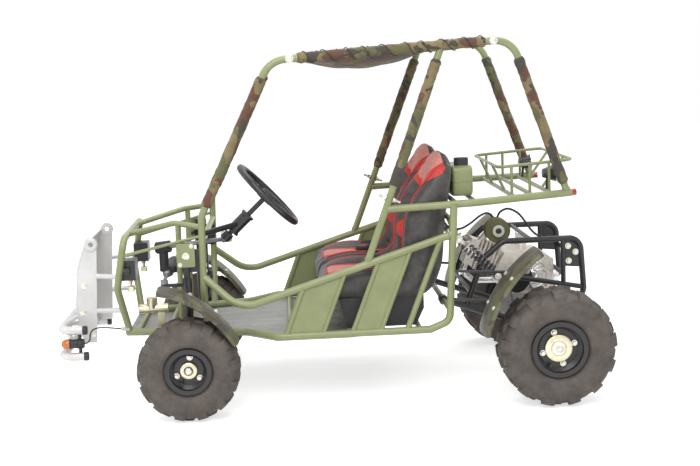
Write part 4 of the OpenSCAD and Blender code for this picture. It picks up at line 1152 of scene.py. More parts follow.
@dataclass
class Seats:
    """Two padded bucket seats with piping, belts and buckles."""

    half_w: float = 0.174
    middle_y: float = 0.195
    flat_to: float = 0.42
    crest: float = 0.80
    inset: float = 0.006
    cap: float = 0.010
    face: Tuple[float, float] = (3.35, 9.75)
    piping_r: float = 0.0030
    trim_lift: float = 0.0012

    def profiles(self, n: int) -> Tuple[Array, Array]:
        """Side views of the middle and of a bolster, with matching samples.

        Args:
            n: samples between each pair of control points.

        Returns:
            The two closed outlines, each of 13 n rows of x and z.
        """
        s = np.arange(len(SEAT_MIDDLE) * n) / n
        views = []
        for keys in (SEAT_MIDDLE, SEAT_SIDE):
            p = np.asarray(keys, float) * 0.001 + np.array([RX, 0.0])
            views.append(catmull_rom(np.vstack([p[-1:], p, p[:2]]), s))
        return views[0], views[1]

    def slice_at(self, v: Array, n: int) -> Array:
        """Outlines at positions v across the seat, -1 to 1, with rounded outer edges.

        Args:
            v: positions across the seat.
            n: samples between control points.

        Returns:
            Points, v by samples by 3, about y = 0.
        """
        mid, side = self.profiles(n)
        w = smoothstep(self.flat_to, self.crest, np.abs(v))[:, None, None]
        flat = mid[None] * (1 - w) + side[None] * w
        tangent = unit(np.roll(flat, -1, 1) - np.roll(flat, 1, 1))
        inward = np.stack([-tangent[..., 1], tangent[..., 0]], -1)
        edge = np.clip((np.abs(v) - 0.86) / 0.14, 0, 1)
        round_in = 0.020 * (1 - np.sqrt(np.maximum(1 - edge**2, 0)))
        flat = flat + inward * (self.inset + round_in)[:, None, None]
        y = np.broadcast_to((v * (self.half_w - self.inset))[:, None], flat.shape[:2])
        return np.stack([flat[..., 0], y, flat[..., 1]], -1)

    def core(self) -> Patch:
        """The seat a little under size: outlines lofted across it and closed at each side."""
        v = np.sin(np.linspace(-math.pi / 2, math.pi / 2, 61))
        loft = self.slice_at(v, 8)
        patch = grid(loft, wrap_cols=True)
        ends = []
        for k in (0, len(v) - 1):
            corners = tessellate_polygon([[Vector(p) for p in loft[k]]])
            ends.append(np.array(corners) + k * loft.shape[1])
        return Patch(patch.verts, patch.quads, np.vstack(ends))

    def swell(self, obj: bpy.types.Object, rest: Array) -> None:
        """Swells the seat by cloth pressure, and caps how far each point moves.

        Args:
            obj: the seat's object.
            rest: its points before.
        """
        cloth = obj.modifiers.new("stuffing", "CLOTH")
        cloth.settings.use_pressure = True
        cloth.settings.uniform_pressure_force = 4.0
        cloth.settings.effector_weights.gravity = 0.0
        cloth.settings.quality = 3
        scene = bpy.context.scene
        for step in range(1, 15):
            scene.frame_set(step)
        got = obj.evaluated_get(bpy.context.evaluated_depsgraph_get()).to_mesh()
        shift = read_points(got) - rest
        obj.modifiers.clear()
        scene.frame_set(1)
        size = np.linalg.norm(shift, axis=1, keepdims=True)
        shift *= np.minimum(1, self.cap / np.maximum(size, 1e-9))
        write_points(obj.data, rest + shift)

    def marks(self, obj: bpy.types.Object) -> None:
        """Stores each point's place across the seat and inside its front face.

        Args:
            obj: the seat's object, about y = 0.
        """
        co = read_points(obj.data)
        v = np.clip(np.abs(co[:, 1]) / self.half_w, 0, 1)
        per_span = 30
        mid, side = self.profiles(per_span)
        w = smoothstep(self.flat_to, self.crest, v)
        best = np.full(len(co), 9.0)
        arc = np.zeros(len(co))
        for k in range(len(mid)):
            x, z = (mid[k, c] * (1 - w) + side[k, c] * w for c in (0, 1))
            d = np.hypot(co[:, 0] - x, co[:, 2] - z)
            near = d < best
            best[near] = d[near]
            arc[near] = k / per_span
        head = smoothstep(0.735, 0.80, co[:, 2])
        lumbar = 0.26 * np.exp(-(((co[:, 2] - 0.585) / 0.034) ** 2))
        off = v / ((0.49 + lumbar) * (1 - head) + 0.93 * head)
        front = np.minimum(arc - self.face[0], self.face[1] - arc) * 0.09
        for name, values in (("off_middle", off), ("front_face", front)):
            layer = obj.data.attributes.new(name, "FLOAT", "POINT")
            layer.data.foreach_set("value", values.astype(np.float32))

    def build(self) -> None:
        """Makes one seat, swells it, and sets a copy on each side with its piping and belt."""
        first = piece("seat_stuffing", self.core(), SEAT, 60)
        remesh = first.modifiers.new("skin", "REMESH")
        remesh.mode = "VOXEL"
        remesh.voxel_size = 0.0062
        skin = bpy.data.meshes.new_from_object(first.evaluated_get(bpy.context.evaluated_depsgraph_get()))
        first.modifiers.clear()
        first.data = skin
        rest = read_points(skin)
        self.swell(first, rest)
        self.relax(first)
        self.marks(first)
        tree = BVHTree.FromObject(first, bpy.context.evaluated_depsgraph_get())
        trims = self.piping(tree)
        belt, buckle, button = self.belt(tree)
        for side, word in NAMED_SIDES:
            shift = pt(0, side * self.middle_y, 0)
            mesh = first.data.copy()
            mesh.transform(Matrix.Translation(Vector(shift)))
            smooth_faces(mesh)
            mesh.materials.clear()
            mesh.materials.append(material_of(SEAT))
            obj = add_object(f"{word}_seat_cover", mesh)
            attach(obj, Body.CHASSIS.value)
            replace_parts(obj, f"{word}_seat")
            piece(f"{word}_seat_piping", trims.moved(shift), RED_PIPE, 60)
            piece(f"{word}_lap_belt", belt.moved(shift), WEB, 50)
            piece(f"{word}_belt_buckle", buckle.moved(shift), PLASTIC, 50)
            piece(f"{word}_buckle_button", button.moved(shift), RED_PIPE, 50)
        bpy.data.objects.remove(first)

    def relax(self, obj: bpy.types.Object) -> None:
        """Smooths the skin, then sinks a seam along each edge of the middle panel.

        Args:
            obj: the seat's object, about y = 0.
        """
        bm = bmesh.new()
        bm.from_mesh(obj.data)
        axes = {"use_axis_x": True, "use_axis_y": True, "use_axis_z": True}
        for _ in range(6):
            bmesh.ops.smooth_vert(bm, verts=bm.verts, factor=0.5, **axes)
        bm.to_mesh(obj.data)
        bm.free()
        co, normal = read_points(obj.data), read_points(obj.data, "normal")
        v = np.abs(co[:, 1]) / self.half_w
        front = np.clip(normal[:, 0] * 0.9 + normal[:, 2] * 0.6, 0, 1)
        seam = np.exp(-(((v - 0.46) / 0.035) ** 2)) * 0.006
        seam += np.exp(-(((v - self.crest) / 0.03) ** 2)) * 0.0025
        rows = np.exp(-((np.abs(co[:, 2] - 0.70) / 0.008) ** 2)) * 0.005 * (v < self.crest)
        write_points(obj.data, co - normal * ((seam + rows) * front)[:, None])
        obj.data.update()

    def on_skin(self, tree: BVHTree, points: Array, lift: float) -> Array:
        """The nearest points of the seat's skin, raised a little.

        Args:
            tree: the seat's skin.
            points: points near it.
            lift: how far to raise them along the normal.

        Returns:
            The raised points.
        """
        found = [tree.find_nearest(Vector(p)) for p in points]
        return np.array([np.array(f[0]) + np.array(f[1]) * lift for f in found])

    def piping(self, tree: BVHTree) -> Patch:
        """Round piping along each bolster's crest and across the front of the cushion.

        Args:
            tree: the seat's skin.

        Returns:
            The patch.
        """
        per_span = 12
        start = int(per_span * self.face[0])
        parts = []
        for s in SIDES:
            line = self.slice_at(np.array([s * self.crest]), per_span)[0][start : per_span * 10 + 2]
            skin = self.on_skin(tree, spline(line, 150), self.trim_lift)
            parts.append(sweep(spline(skin[::3], 150), self.piping_r, 8, LEFT))
        row = self.slice_at(np.linspace(-0.49, 0.49, 40), per_span)[:, start]
        skin = self.on_skin(tree, row, self.trim_lift)
        parts.append(sweep(spline(skin[::2], 60), self.piping_r, 8, AHEAD))
        return Patch.join(parts)

    def belt(self, tree: BVHTree) -> Tuple[Patch, Patch, Patch]:
        """A lap belt across the cushion with its buckle and button.

        Args:
            tree: the seat's skin.

        Returns:
            The belt, the buckle and the button.
        """
        y = np.linspace(-0.150, 0.150, 70)
        x = RX + 0.585 + 0.035 * np.cos(y * 10)
        raw = np.stack([x, y, np.full_like(y, 0.52)], -1)
        hits = [tree.ray_cast(Vector(p), Vector((0, 0, -1))) for p in raw]
        z = np.array([h[0].z if h[0] else 0.46 for h in hits])
        z = np.convolve(np.pad(z, 5, mode="edge"), np.ones(11) / 11, mode="valid") + 0.004
        path = np.stack([x, y, z], -1)
        tangent = unit(np.gradient(path, axis=0))
        wide = unit(np.cross(tangent, UP))
        up = np.cross(wide, tangent)
        t = np.array([[-1, -1], [1, -1], [1, 1], [-1, 1]], float)
        half_w, half_h = 0.022, 0.0011
        ring = path[:, None] + wide[:, None] * t[None, :, :1] * half_w + up[:, None] * t[None, :, 1:] * half_h
        ends = [np.repeat(path[:1, None], 4, 1), ring, np.repeat(path[-1:, None], 4, 1)]
        strap = grid(np.concatenate(ends), wrap_cols=True)
        clasp = path[26]
        buckle = pillow(clasp + pt(0, 0, 0.010), (0.027, 0.038, 0.011), 0.3, 16)
        button = pillow(clasp + pt(0, 0.020, 0.0175), (0.014, 0.010, 0.005), 0.35, 12)
        return strap, buckle, button


@dataclass
class TyreForm:
    """Sizes of one kind of wheel and its tyre."""

    radius: float
    width: float
    flange: float
    rim_w: float
    lugs: int
    lug_h: float
    bolts_n: int
    bolt_circle: float
    hub_r: float
    ring_only: bool

    def surface(self, centre: Array) -> Patch:
        """A knobbly tyre: a closed section turned about the axle and raised where a lug stands.

        The section is a smooth line through key points from one bead to the other. A lug is raised
        where the angle lies in its share of the pitch and the place across the tread lies in its row;
        the rows are staggered.

        Args:
            centre: the middle of the wheel.

        Returns:
            The patch.
        """
        half_pitch = np.array([0.0, 0.015, 0.05, 0.17, 0.29, 0.41, 0.445, 0.46])
        pitch = np.concatenate([half_pitch, half_pitch + 0.5])
        turn = ((np.arange(self.lugs)[:, None] + pitch[None]).ravel()) * 2 * math.pi / self.lugs
        phase = np.tile(pitch, self.lugs)[:, None]
        h = self.width / 2
        flange = self.flange
        r0 = flange - 0.0097
        bead = self.rim_w / 2 - 0.0085
        top = self.radius - self.lug_h
        key = [
            [r0, -bead], [flange + 0.003, -bead], [flange + 0.009, -h + 0.012], [flange + 0.022, -h + 0.004],
            [flange + 0.036, -h + 0.003], [top - 0.030, -h + 0.006], [top - 0.016, -h + 0.013],
            [top - 0.006, -h + 0.025], [top - 0.001, -h + 0.042], [top, 0.0],
        ]
        half = spline(key, 46)
        section = np.vstack([half, (half * [1, -1])[::-1][1:], half[:1]])
        r, y = section[None, :, 0], section[None, :, 1]
        t = np.abs(y) / h
        left = (y < 0).astype(float)
        local = (phase + 0.5 * left) % 1.0
        block = smoothstep(0.0, 0.012, local) * (1 - smoothstep(0.452, 0.464, local))
        shoulder = smoothstep(0.50, 0.53, t) * smoothstep(top - 0.020, top - 0.014, r)
        slant = (phase + 0.5 * left + 0.22 + 0.5 * t) % 1.0
        bar = smoothstep(0.0, 0.03, slant) * (1 - smoothstep(0.40, 0.43, slant))
        crown = (1 - smoothstep(0.36, 0.40, t)) * smoothstep(0.03, 0.06, t)
        crown = crown * smoothstep(top - 0.01, top - 0.006, r)
        raised = np.maximum(block * shoulder, bar * crown)
        mark = 0.0024 * np.exp(-(((r - (top - 0.034)) / 0.005) ** 4)) * (t > 0.7)
        mark = mark * (np.abs(local - 0.23) < 0.085)
        rib = 0.0012 * np.exp(-(((r - (flange + 0.020)) / 0.0022) ** 2)) * (t > 0.5)
        slope = np.gradient(section, axis=0)
        outward = unit(np.stack([slope[:, 1], -slope[:, 0]], -1))[None]
        outward = np.where(r[..., None] > top - 0.006, np.array([1.0, 0.0]), outward)
        lift = (self.lug_h * raised + mark + rib)[..., None] * outward
        rr = np.minimum(r + lift[..., 0], self.radius)
        yy = np.clip(y + lift[..., 1], -h, h)
        points = np.stack([rr * np.cos(turn)[:, None], yy + 0 * rr, rr * np.sin(turn)[:, None]], -1)
        return grid(points[:, :-1] + centre, wrap_rows=True, wrap_cols=True)


FRONT = TyreForm(0.178, 0.145, 0.080, 0.111, 13, 0.009, 3, 0.046, 0.0285, True)
REAR = TyreForm(0.203, 0.195, 0.097, 0.155, 13, 0.010, 4, 0.057, 0.047, False)


@dataclass
class Wheels:
    """Knobbly tyres, hub discs, bolts and valves of the four wheels."""

    front_y: float = 0.455
    rear_y: float = 0.480
    recess: float = 0.034

    def build(self) -> None:
        """Makes the tyres and hubs."""
        for side, word, body in zip(SIDES, ("left", "right"), (Body.LEFT_WHEEL, Body.RIGHT_WHEEL)):
            centre = pt(AX, side * self.front_y, FRONT.radius)
            tyre = piece(f"{word}_front_tyre_tread", FRONT.surface(centre), TYRE, 42, body)
            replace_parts(tyre, f"{word}_front_tyre")
            self.hub(f"{word}_front", FRONT, centre, side, body)
        both = Patch.join([REAR.surface(pt(RX, s * self.rear_y, REAR.radius)) for s in SIDES])
        tyres = piece("rear_tyre_treads", both, TYRE, 42, Body.REAR_WHEELS)
        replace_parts(tyres, "rear_tyres")
        for side, word in NAMED_SIDES:
            centre = pt(RX, side * self.rear_y, REAR.radius)
            self.hub(f"{word}_rear", REAR, centre, side, Body.REAR_WHEELS)

    def hub(self, name: str, form: TyreForm, centre: Array, side: float, body: Body) -> None:
        """The hub disc or ring, its bolts, the axle nut and the valve of one wheel.

        Args:
            name: start of the pieces' names.
            form: the wheel's sizes.
            centre: the middle of the wheel.
            side: 1 on the left, -1 on the right.
            body: the body that the wheel turns with.
        """
        out = pt(0, side, 0)
        face = form.rim_w / 2 - self.recess
        r = form.hub_r
        ring = form.ring_only
        lip = centre + out * (face + (0.0081 if ring else 0.0061))
        dish = 0.001 if ring else 0.007
        disc = [[0, 0], [r, 0], [r, 0.003], [r - 0.003, 0.0045], [r * 0.58, 0.005]]
        disc += [[r * 0.55, dish], [0, dish + 0.001]]
        piece(f"{name}_hub_disc", lathe(disc, lip, out, 48), ZINC, 30, body)
        well = r * (0.60 if ring else 0.52)
        boss = [[0, 0.001], [well, 0.001]]
        if ring:
            boss += [[well, 0.0052], [well - 0.004, 0.0030], [0, 0.0030]]
        else:
            boss += [[well, 0.0085], [well - 0.002, 0.0100], [well * 0.7, 0.0105], [0, 0.0095]]
        piece(f"{name}_hub_boss", lathe(boss, lip, out, 40), STEEL if ring else CAST, 30, body)
        a = ring_angles(form.bolts_n) + math.pi / 2 + (0.12 if ring else -0.27)
        places = centre + about_y(form.bolt_circle, a) + out * (face + 0.0002)
        nut = [[0, 0.004], [0.0125, 0.004], [0.0125, 0.013], [0.010, 0.0145], [0.006, 0.0145]]
        nut += [[0.006, 0.020], [0, 0.020]]
        fixings = Patch.join([bolts(places, out, 0.0075, 0.011), lathe(nut, lip, out, 6)])
        piece(f"{name}_wheel_bolts", fixings, PALE_ZINC, 30, body)
        stem_r = form.flange - 0.032
        foot = centre + pt(stem_r * 0.5, 0, -stem_r * 0.86) + out * (face + 0.0005)
        stem = [[0, 0], [0.007, 0], [0.006, 0.004], [0.0038, 0.008], [0.0036, 0.020], [0.0042, 0.0205]]
        stem += [[0.0042, 0.028], [0, 0.029]]
        piece(f"{name}_valve", lathe(stem, foot, out, 14), PLASTIC, 40, body)


# Side views of the mudguards: the four control points of each curve, x and z
FRONT_CURVE = ((AX + 0.092, 0.462), (AX, 0.452), (AX - 0.100, 0.390), (AX - 0.174, 0.268))
REAR_CURVE = ((RX + 0.058, 0.546), (RX + 0.132, 0.498), (RX + 0.228, 0.398), (RX + 0.258, 0.258))


def bezier(keys: Points, n: int) -> Array:
    """Points of a cubic Bezier curve, b(t) = sum of key k times its Bernstein weight.

    Args:
        keys: the four control points, x and z.
        n: number of points.

    Returns:
        The points, one a row.
    """
    k = np.asarray(keys, float)
    t = np.linspace(0, 1, n)[:, None]
    return k[0] * (1 - t) ** 3 + 3 * k[1] * t * (1 - t) ** 2 + 3 * k[2] * t * t * (1 - t) + k[3] * t**3


def rod(p: Array, q: Array, r: float, n: int = 14) -> Patch:
    """A straight round rod from p to q."""
    line = even_line(np.asarray(p, float), np.asarray(q, float), 3)
    return sweep(line, r, n, across(line[-1] - line[0])[0])


@dataclass
class Mudguards:
    """Crowned plastic mudguards with turned edges, on rods."""

    thick: float = 0.0032
    lip: float = 0.010
    crown: float = 0.005
    front_y: Tuple[float, float] = (0.3925, 0.5275)
    rear_y: Tuple[float, float] = (0.3925, 0.5575)

    def shell(self, keys: Points, span: Tuple[float, float], toward: float) -> Patch:
        """A thin shell along a curve: crowned across, with its edges turned towards the wheel.

        Args:
            keys: control points of the curve, x and z.
            span: the two edges, y.
            toward: 1 if the wheel lies to the curve's right, -1 if to its left.

        Returns:
            The patch.
        """
        n = 70
        line = bezier(keys, n)
        along = unit(np.gradient(line, axis=0))
        inward = np.stack([along[:, 1], 0 * along[:, 0], -along[:, 0]], -1) * toward
        c = np.sin(np.linspace(-math.pi / 2, math.pi / 2, 37))
        drop = self.crown * c**2 + self.lip * smoothstep(0.955, 1.0, np.abs(c))
        run = run_length(line)
        end = np.clip(np.minimum(run, run[-1] - run) / 0.018, 0, 1)
        width = 1 - 0.16 * (1 - np.sqrt(1 - (1 - end) ** 2))
        mid, half = (span[0] + span[1]) / 2, (span[1] - span[0]) / 2
        base = np.stack([line[:, 0], np.full(n, mid), line[:, 1]], -1)
        across_y = half * width[:, None] * c[None, :]
        outer = base[:, None] + inward[:, None] * drop[None, :, None]
        outer = outer + across_y[..., None] * LEFT
        if toward < 0:
            outer = outer - inward[:, None] * 0.004
        inner = outer + inward[:, None] * self.thick
        ring = np.concatenate([outer, inner[:, ::-1]], 1)
        seam = (outer + inner) / 2
        caps = np.concatenate([seam, seam[:, ::-1]], 1)
        return grid(np.concatenate([caps[:1], ring, caps[-1:]]), wrap_cols=True)

    def build(self) -> None:
        """Makes the four mudguards, their rods and their bolts."""
        rear = self.shell(REAR_CURVE, self.rear_y, 1.0).both()
        guard = piece("rear_mudguard_shells", rear, CAMO_PLASTIC, 50)
        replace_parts(guard, "rear_mudguards")
        marks = bezier(REAR_CURVE, 17)
        rods, heads = [], []
        for i in (7, 12):
            x, z = marks[i]
            run = marks[i + 1] - marks[i - 1]
            out = unit(pt(-run[1], 0, run[0]))
            rods.append(rod(pt(x - 0.003, 0.400, z), at_z(SILL_HEEL, SILL_TOP, z + 0.012), 0.0050))
            for y in (0.420, 0.530):
                heads.append(bolts([pt(x, y, z) - out * 0.003], out, 0.0065, 0.006))
        piece("rear_mudguard_rods", Patch.join(rods).both(), BLACK)
        piece("rear_mudguard_bolts", Patch.join(heads).both(), PALE_ZINC, 30)
        self.front()

    def front(self) -> None:
        """The two front mudguards, which turn with the uprights."""
        shell = self.shell(FRONT_CURVE, self.front_y, -1.0)
        marks = bezier(FRONT_CURVE, 17)
        rods, heads = [], []
        for i in (6, 11):
            spot = pt(marks[i, 0], 0.4185, marks[i, 1])
            run = marks[i + 1] - marks[i - 1]
            out = unit(pt(run[1], 0, -run[0]))
            rods.append(rod(pt(AX, 0.335, 0.404), spot - UP * 0.003, 0.0055))
            heads.append(bolts([spot + out * 0.002], out, 0.0065, 0.006))
        arms, fixings = Patch.join(rods), Patch.join(heads)
        for word, body in (("left", Body.LEFT_UPRIGHT), ("right", Body.RIGHT_UPRIGHT)):
            here = [p if word == "left" else p.mirrored() for p in (shell, arms, fixings)]
            guard = piece(f"{word}_front_mudguard_shell", here[0], CAMO_PLASTIC, 50, body)
            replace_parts(guard, f"{word}_front_mudguard")
            piece(f"{word}_front_mudguard_rods", here[1], BLACK, body=body)
            piece(f"{word}_front_mudguard_bolts", here[2], PALE_ZINC, 30, body)


@dataclass
class Shocks:
    """Coil-over shocks: wound springs, dampers, rods and eyes."""

    spring_r: float = 0.0185
    wire_r: float = 0.0035
    turns: float = 7.0

    def build(self) -> None:
        """Makes both shocks."""
        low = pt(RX + 0.158, SHOCK_Y, 0.413)
        axis = unit(SHOCK_TOP - low)
        length = float(np.linalg.norm(SHOCK_TOP - low))
        foot, head = 0.034, length - 0.042
        u, v = across(axis)
        t = np.linspace(0, 1, 340)[:, None]
        a = 2 * math.pi * self.turns * t
        height = foot + 0.0038 + (head - foot - 0.0076) * t
        path = low + axis * height + self.spring_r * (np.cos(a) * u + np.sin(a) * v)
        spring = piece("shock_springs", sweep(path, self.wire_r, 10, axis).both(), SPRING, 60)
        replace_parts(spring, "shocks")
        body = [
            [0, 0.013], [0.009, 0.013], [0.009, 0.024], [0.021, 0.029], [0.023, 0.0305], [0.023, 0.034],
            [0.013, 0.034], [0.013, head - 0.050], [0.0115, head - 0.048], [0, head - 0.048],
        ]
        piece("shock_dampers", lathe(body, low, axis, 36).both(), BLACK, 30)
        thin = [[0, head - 0.049], [0.0065, head - 0.049], [0.0065, head + 0.002], [0, head + 0.002]]
        piece("shock_rods", lathe(thin, low, axis, 28).both(), CHROME, 30)
        cap = [
            [0, head], [0.022, head], [0.023, head + 0.0015], [0.023, head + 0.004], [0.015, head + 0.012],
            [0.010, head + 0.017], [0.009, length - 0.013], [0, length - 0.013],
        ]
        pale = [lathe(cap, low, axis, 36), self.eye(SHOCK_TOP, SHOCK_Y - 0.011, SHOCK_Y + 0.011)]
        pale.append(bolts(np.array([SHOCK_TOP, low]) + LEFT * 0.0112, LEFT, 0.0085, 0.010))
        piece("shock_upper_mounts", Patch.join(pale).both(), PALE_ZINC, 30)
        piece("shock_lower_eyes", self.eye(low, 0.2146, SHOCK_Y + 0.011).both(), BLACK, 30)
        bar = at_z(SILL_HEEL, SILL_TOP, 0.637)
        stay = rod(SHOCK_TOP, pt(bar[0], SHOCK_Y, bar[2]), 0.008, 20)
        piece("shock_stays", stay.both(), GREEN, 40)

    def eye(self, at: Array, y0: float, y1: float) -> Patch:
        """A round eye along y, with small chamfers.

        Args:
            at: a point whose x and z are the eye's.
            y0: its inner end.
            y1: its outer end.

        Returns:
            The patch.
        """
        w = y1 - y0
        ring = [[0, 0], [0.0135, 0], [0.015, 0.0015], [0.015, w - 0.0015], [0.0135, w], [0, w]]
        return lathe(ring, pt(at[0], y0, at[2]), LEFT, 32)


@dataclass
class Chain:
    """Roller chain: inner and outer links in turn, with rollers and pins."""

    pitch: float = 0.0127
    gear_r: float = 0.066
    pinion_r: float = 0.024
    clear: float = 0.0048
    y: float = 0.141

    def loop(self) -> Array:
        """Even points along the chain's loop round both sprockets, x and z, one for each pin."""
        gear, pinion = np.array([RX, 0.203]), np.array([RX + 0.070, 0.372])
        span = np.linalg.norm(pinion - gear)
        lean = math.atan2(*(pinion - gear)[::-1])
        slope = math.asin((self.gear_r - self.pinion_r) / span)
        far = np.linspace(math.pi / 2 - slope, 1.5 * math.pi + slope, 200) + lean
        near = np.linspace(-math.pi / 2 + slope, math.pi / 2 - slope, 120) + lean
        arc = [gear + (self.gear_r + self.clear) * np.stack([np.cos(far), np.sin(far)], -1)]
        arc.append(pinion + (self.pinion_r + self.clear) * np.stack([np.cos(near), np.sin(near)], -1))
        line = np.vstack(arc + [arc[0][:1]])
        run = run_length(line)
        pins = 2 * round(run[-1] / (2 * self.pitch))
        return resample(line, run, np.linspace(0, run[-1], pins, endpoint=False))

    def link(self, p: Array, q: Array, y: float, thick: float) -> Patch:
        """One waisted side plate from pin p to pin q.

        Args:
            p: the first pin, x and z.
            q: the second pin.
            y: the plate's inner face.
            thick: its thickness along y.

        Returns:
            The patch.
        """
        along = unit(q - p)
        side = np.array([-along[1], along[0]])
        half = np.linalg.norm(q - p) / 2
        a = ring_angles(32)
        bulge = 0.0030 + 0.0012 * np.abs(np.cos(a)) ** 1.5
        lx = (half + 0.0042) * signed_power(np.cos(a), 0.8)
        lz = bulge * signed_power(np.sin(a), 0.6)
        flat = (p + q) / 2 + lx[:, None] * along + lz[:, None] * side
        outline = np.stack([flat[:, 0], np.full(len(a), y), flat[:, 1]], -1)
        return plate(outline, LEFT, thick)

    def build(self) -> None:
        """Makes the whole chain as one piece, and the plate that guards its upper end."""
        pins = self.loop()
        parts = []
        for k, p in enumerate(pins):
            q = pins[(k + 1) % len(pins)]
            reach = 0.0022 if k % 2 == 0 else 0.0034
            parts.append(self.link(p, q, self.y + reach, 0.0010))
            parts.append(self.link(p, q, self.y - reach - 0.0010, 0.0010))
        barrel = [[0, -0.0045], [0.0019, -0.0045], [0.0019, -0.0022], [0.0038, -0.0021]]
        barrel += [[r, -h] for r, h in barrel[::-1]]
        roller = lathe(barrel, pt(0, 0, 0), LEFT, 14)
        parts.append(copies(roller, np.stack([pins[:, 0], np.full(len(pins), self.y), pins[:, 1]], -1)))
        obj = piece("roller_chain", Patch.join(parts), STEEL, 35)
        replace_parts(obj, "chain")
        self.guard()

    def guard(self) -> None:
        """A black plate over the small sprocket, on two spacers with bolts."""
        mid = pt(RX + 0.070, 0.149, 0.372)
        a = ring_angles(60)
        r = 0.043 + 0.022 * np.clip(np.cos(a - 2.4), 0, 1) ** 3 + 0.014 * np.clip(np.cos(a - 0.4), 0, 1) ** 3
        piece("chain_guard", plate(mid + about_y(r, a), LEFT, 0.003), BLACK, 40)
        spots = [mid + pt(-0.038, 0, 0.036), mid + pt(0.044, 0, 0.016)]
        spacers = [rod(p - pt(0, 0.058, 0), p, 0.005) for p in spots]
        heads = bolts(np.array(spots) + pt(0, 0.003, 0), LEFT, 0.0075, 0.007)
        piece("chain_guard_bolts", Patch.join(spacers + [heads]), PALE_ZINC, 30)


@dataclass
class Engine:
    """Cast detail on the engine's cover, its bolts, the filter's fittings and the cage's plates."""

    crank: Tuple[float, float] = (RX + 0.002, 0.392)
    filter_at: Tuple[float, float] = (RX + 0.132, 0.560)
    vanes: int = 11
    cover_y: float = 0.1238

    def build(self) -> None:
        """Makes the cover's swirl and rims, the bolts, the filter's fittings and the cage's plates."""
        self.swirl()
        self.fixings()
        self.filter()
        self.cage_plate()

    def swirl(self) -> None:
        """Rings and curved vanes cast on the left cover."""
        x, z = self.crank
        face = pt(x, self.cover_y, z)
        r = np.linspace(0.016, 0.0475, 26)
        parts = []
        for start in ring_angles(self.vanes):
            parts.append(sweep(face + about_y(r, start + 26 * (r - r[0])), 0.0019, 8, LEFT))
        for rim_r, wire in ((0.0495, 0.0022), (0.0155, 0.0026)):
            parts.append(sweep(face + about_y(rim_r, ring_angles(72)), wire, 8, LEFT, closed=True))
        hub = [[0, 0], [0.013, 0], [0.013, 0.003], [0.011, 0.0045], [0.005, 0.0045]]
        hub += [[0.004, 0.003], [0, 0.003]]
        parts.append(lathe(hub, face, LEFT, 36))
        piece("engine_cover_swirl", Patch.join(parts), BRIGHT, 40)
        grooves = []
        for rim_r in (0.0745, 0.059):
            rim = pt(x, 0.1148, z) + about_y(rim_r, ring_angles(90))
            grooves.append(sweep(rim, 0.0017, 8, LEFT, closed=True))
        piece("engine_cover_rims", Patch.join(grooves), CAST, 40)

    def fixings(self) -> None:
        """Bolts round both covers, and the sump's plug."""
        x, z = self.crank
        a = ring_angles(7) + 0.3
        left = bolts(pt(x, 0.115, z) + about_y(0.067, a), LEFT, 0.0045, 0.006)
        right = bolts(pt(x, -0.118, z) + about_y(0.065, a), -LEFT, 0.0045, 0.006)
        plug = bolts([pt(RX + 0.060, 0.092, 0.345)], LEFT, 0.008, 0.007)
        piece("engine_bolts", Patch.join([left, right, plug]), PALE_ZINC, 30)

    def filter(self) -> None:
        """The filter's pale end ring with its dark window, and its clamp."""
        x, z = self.filter_at
        centre = pt(x, 0.1341, z)
        ring = [[0.0105, 0], [0.0215, 0], [0.0225, 0.0012], [0.0215, 0.0032], [0.0175, 0.0042]]
        ring += [[0.0125, 0.0036], [0.0105, 0]]
        piece("filter_end_ring", lathe(ring, centre, LEFT, 48), WHITE_CAP, 35)
        window = pillow(centre + pt(0, 0.0005, 0), (0.0105, 0.0016, 0.0075), 0.5, 16)
        piece("filter_window", window, PLASTIC, 40)
        band = [[0.0172, 0], [0.0188, 0.0005], [0.0188, 0.0075], [0.0172, 0.008], [0.0172, 0]]
        clamp = lathe(band, pt(x, 0.052, z), LEFT, 40)
        screw = rod(pt(x - 0.010, 0.056, z + 0.0205), pt(x + 0.010, 0.056, z + 0.0205), 0.0035, 10)
        piece("filter_clamp", Patch.join([clamp, screw]), PALE_ZINC, 35)

    def cage_plate(self) -> None:
        """A black plate in the rear corner of each cage side, with three bolts."""
        corners = [[RX - 0.089, 0.525], [RX - 0.152, 0.527], [RX - 0.163, 0.425], [RX - 0.089, 0.432]]
        turns = np.array([[x, 0.203, z] for x, z in corners])
        flat = np.vstack([even_line(p, q, 9)[:-1] for p, q in zip(turns, np.roll(turns, -1, 0))])
        piece("cage_plates", plate(flat, LEFT, 0.004).both(), BLACK, 40)
        spots = [pt(RX - 0.110, 0.207, 0.505), pt(RX - 0.138, 0.207, 0.482), pt(RX - 0.112, 0.207, 0.450)]
        piece("cage_plate_bolts", bolts(spots, LEFT, 0.008, 0.008).both(), PALE_ZINC, 30)


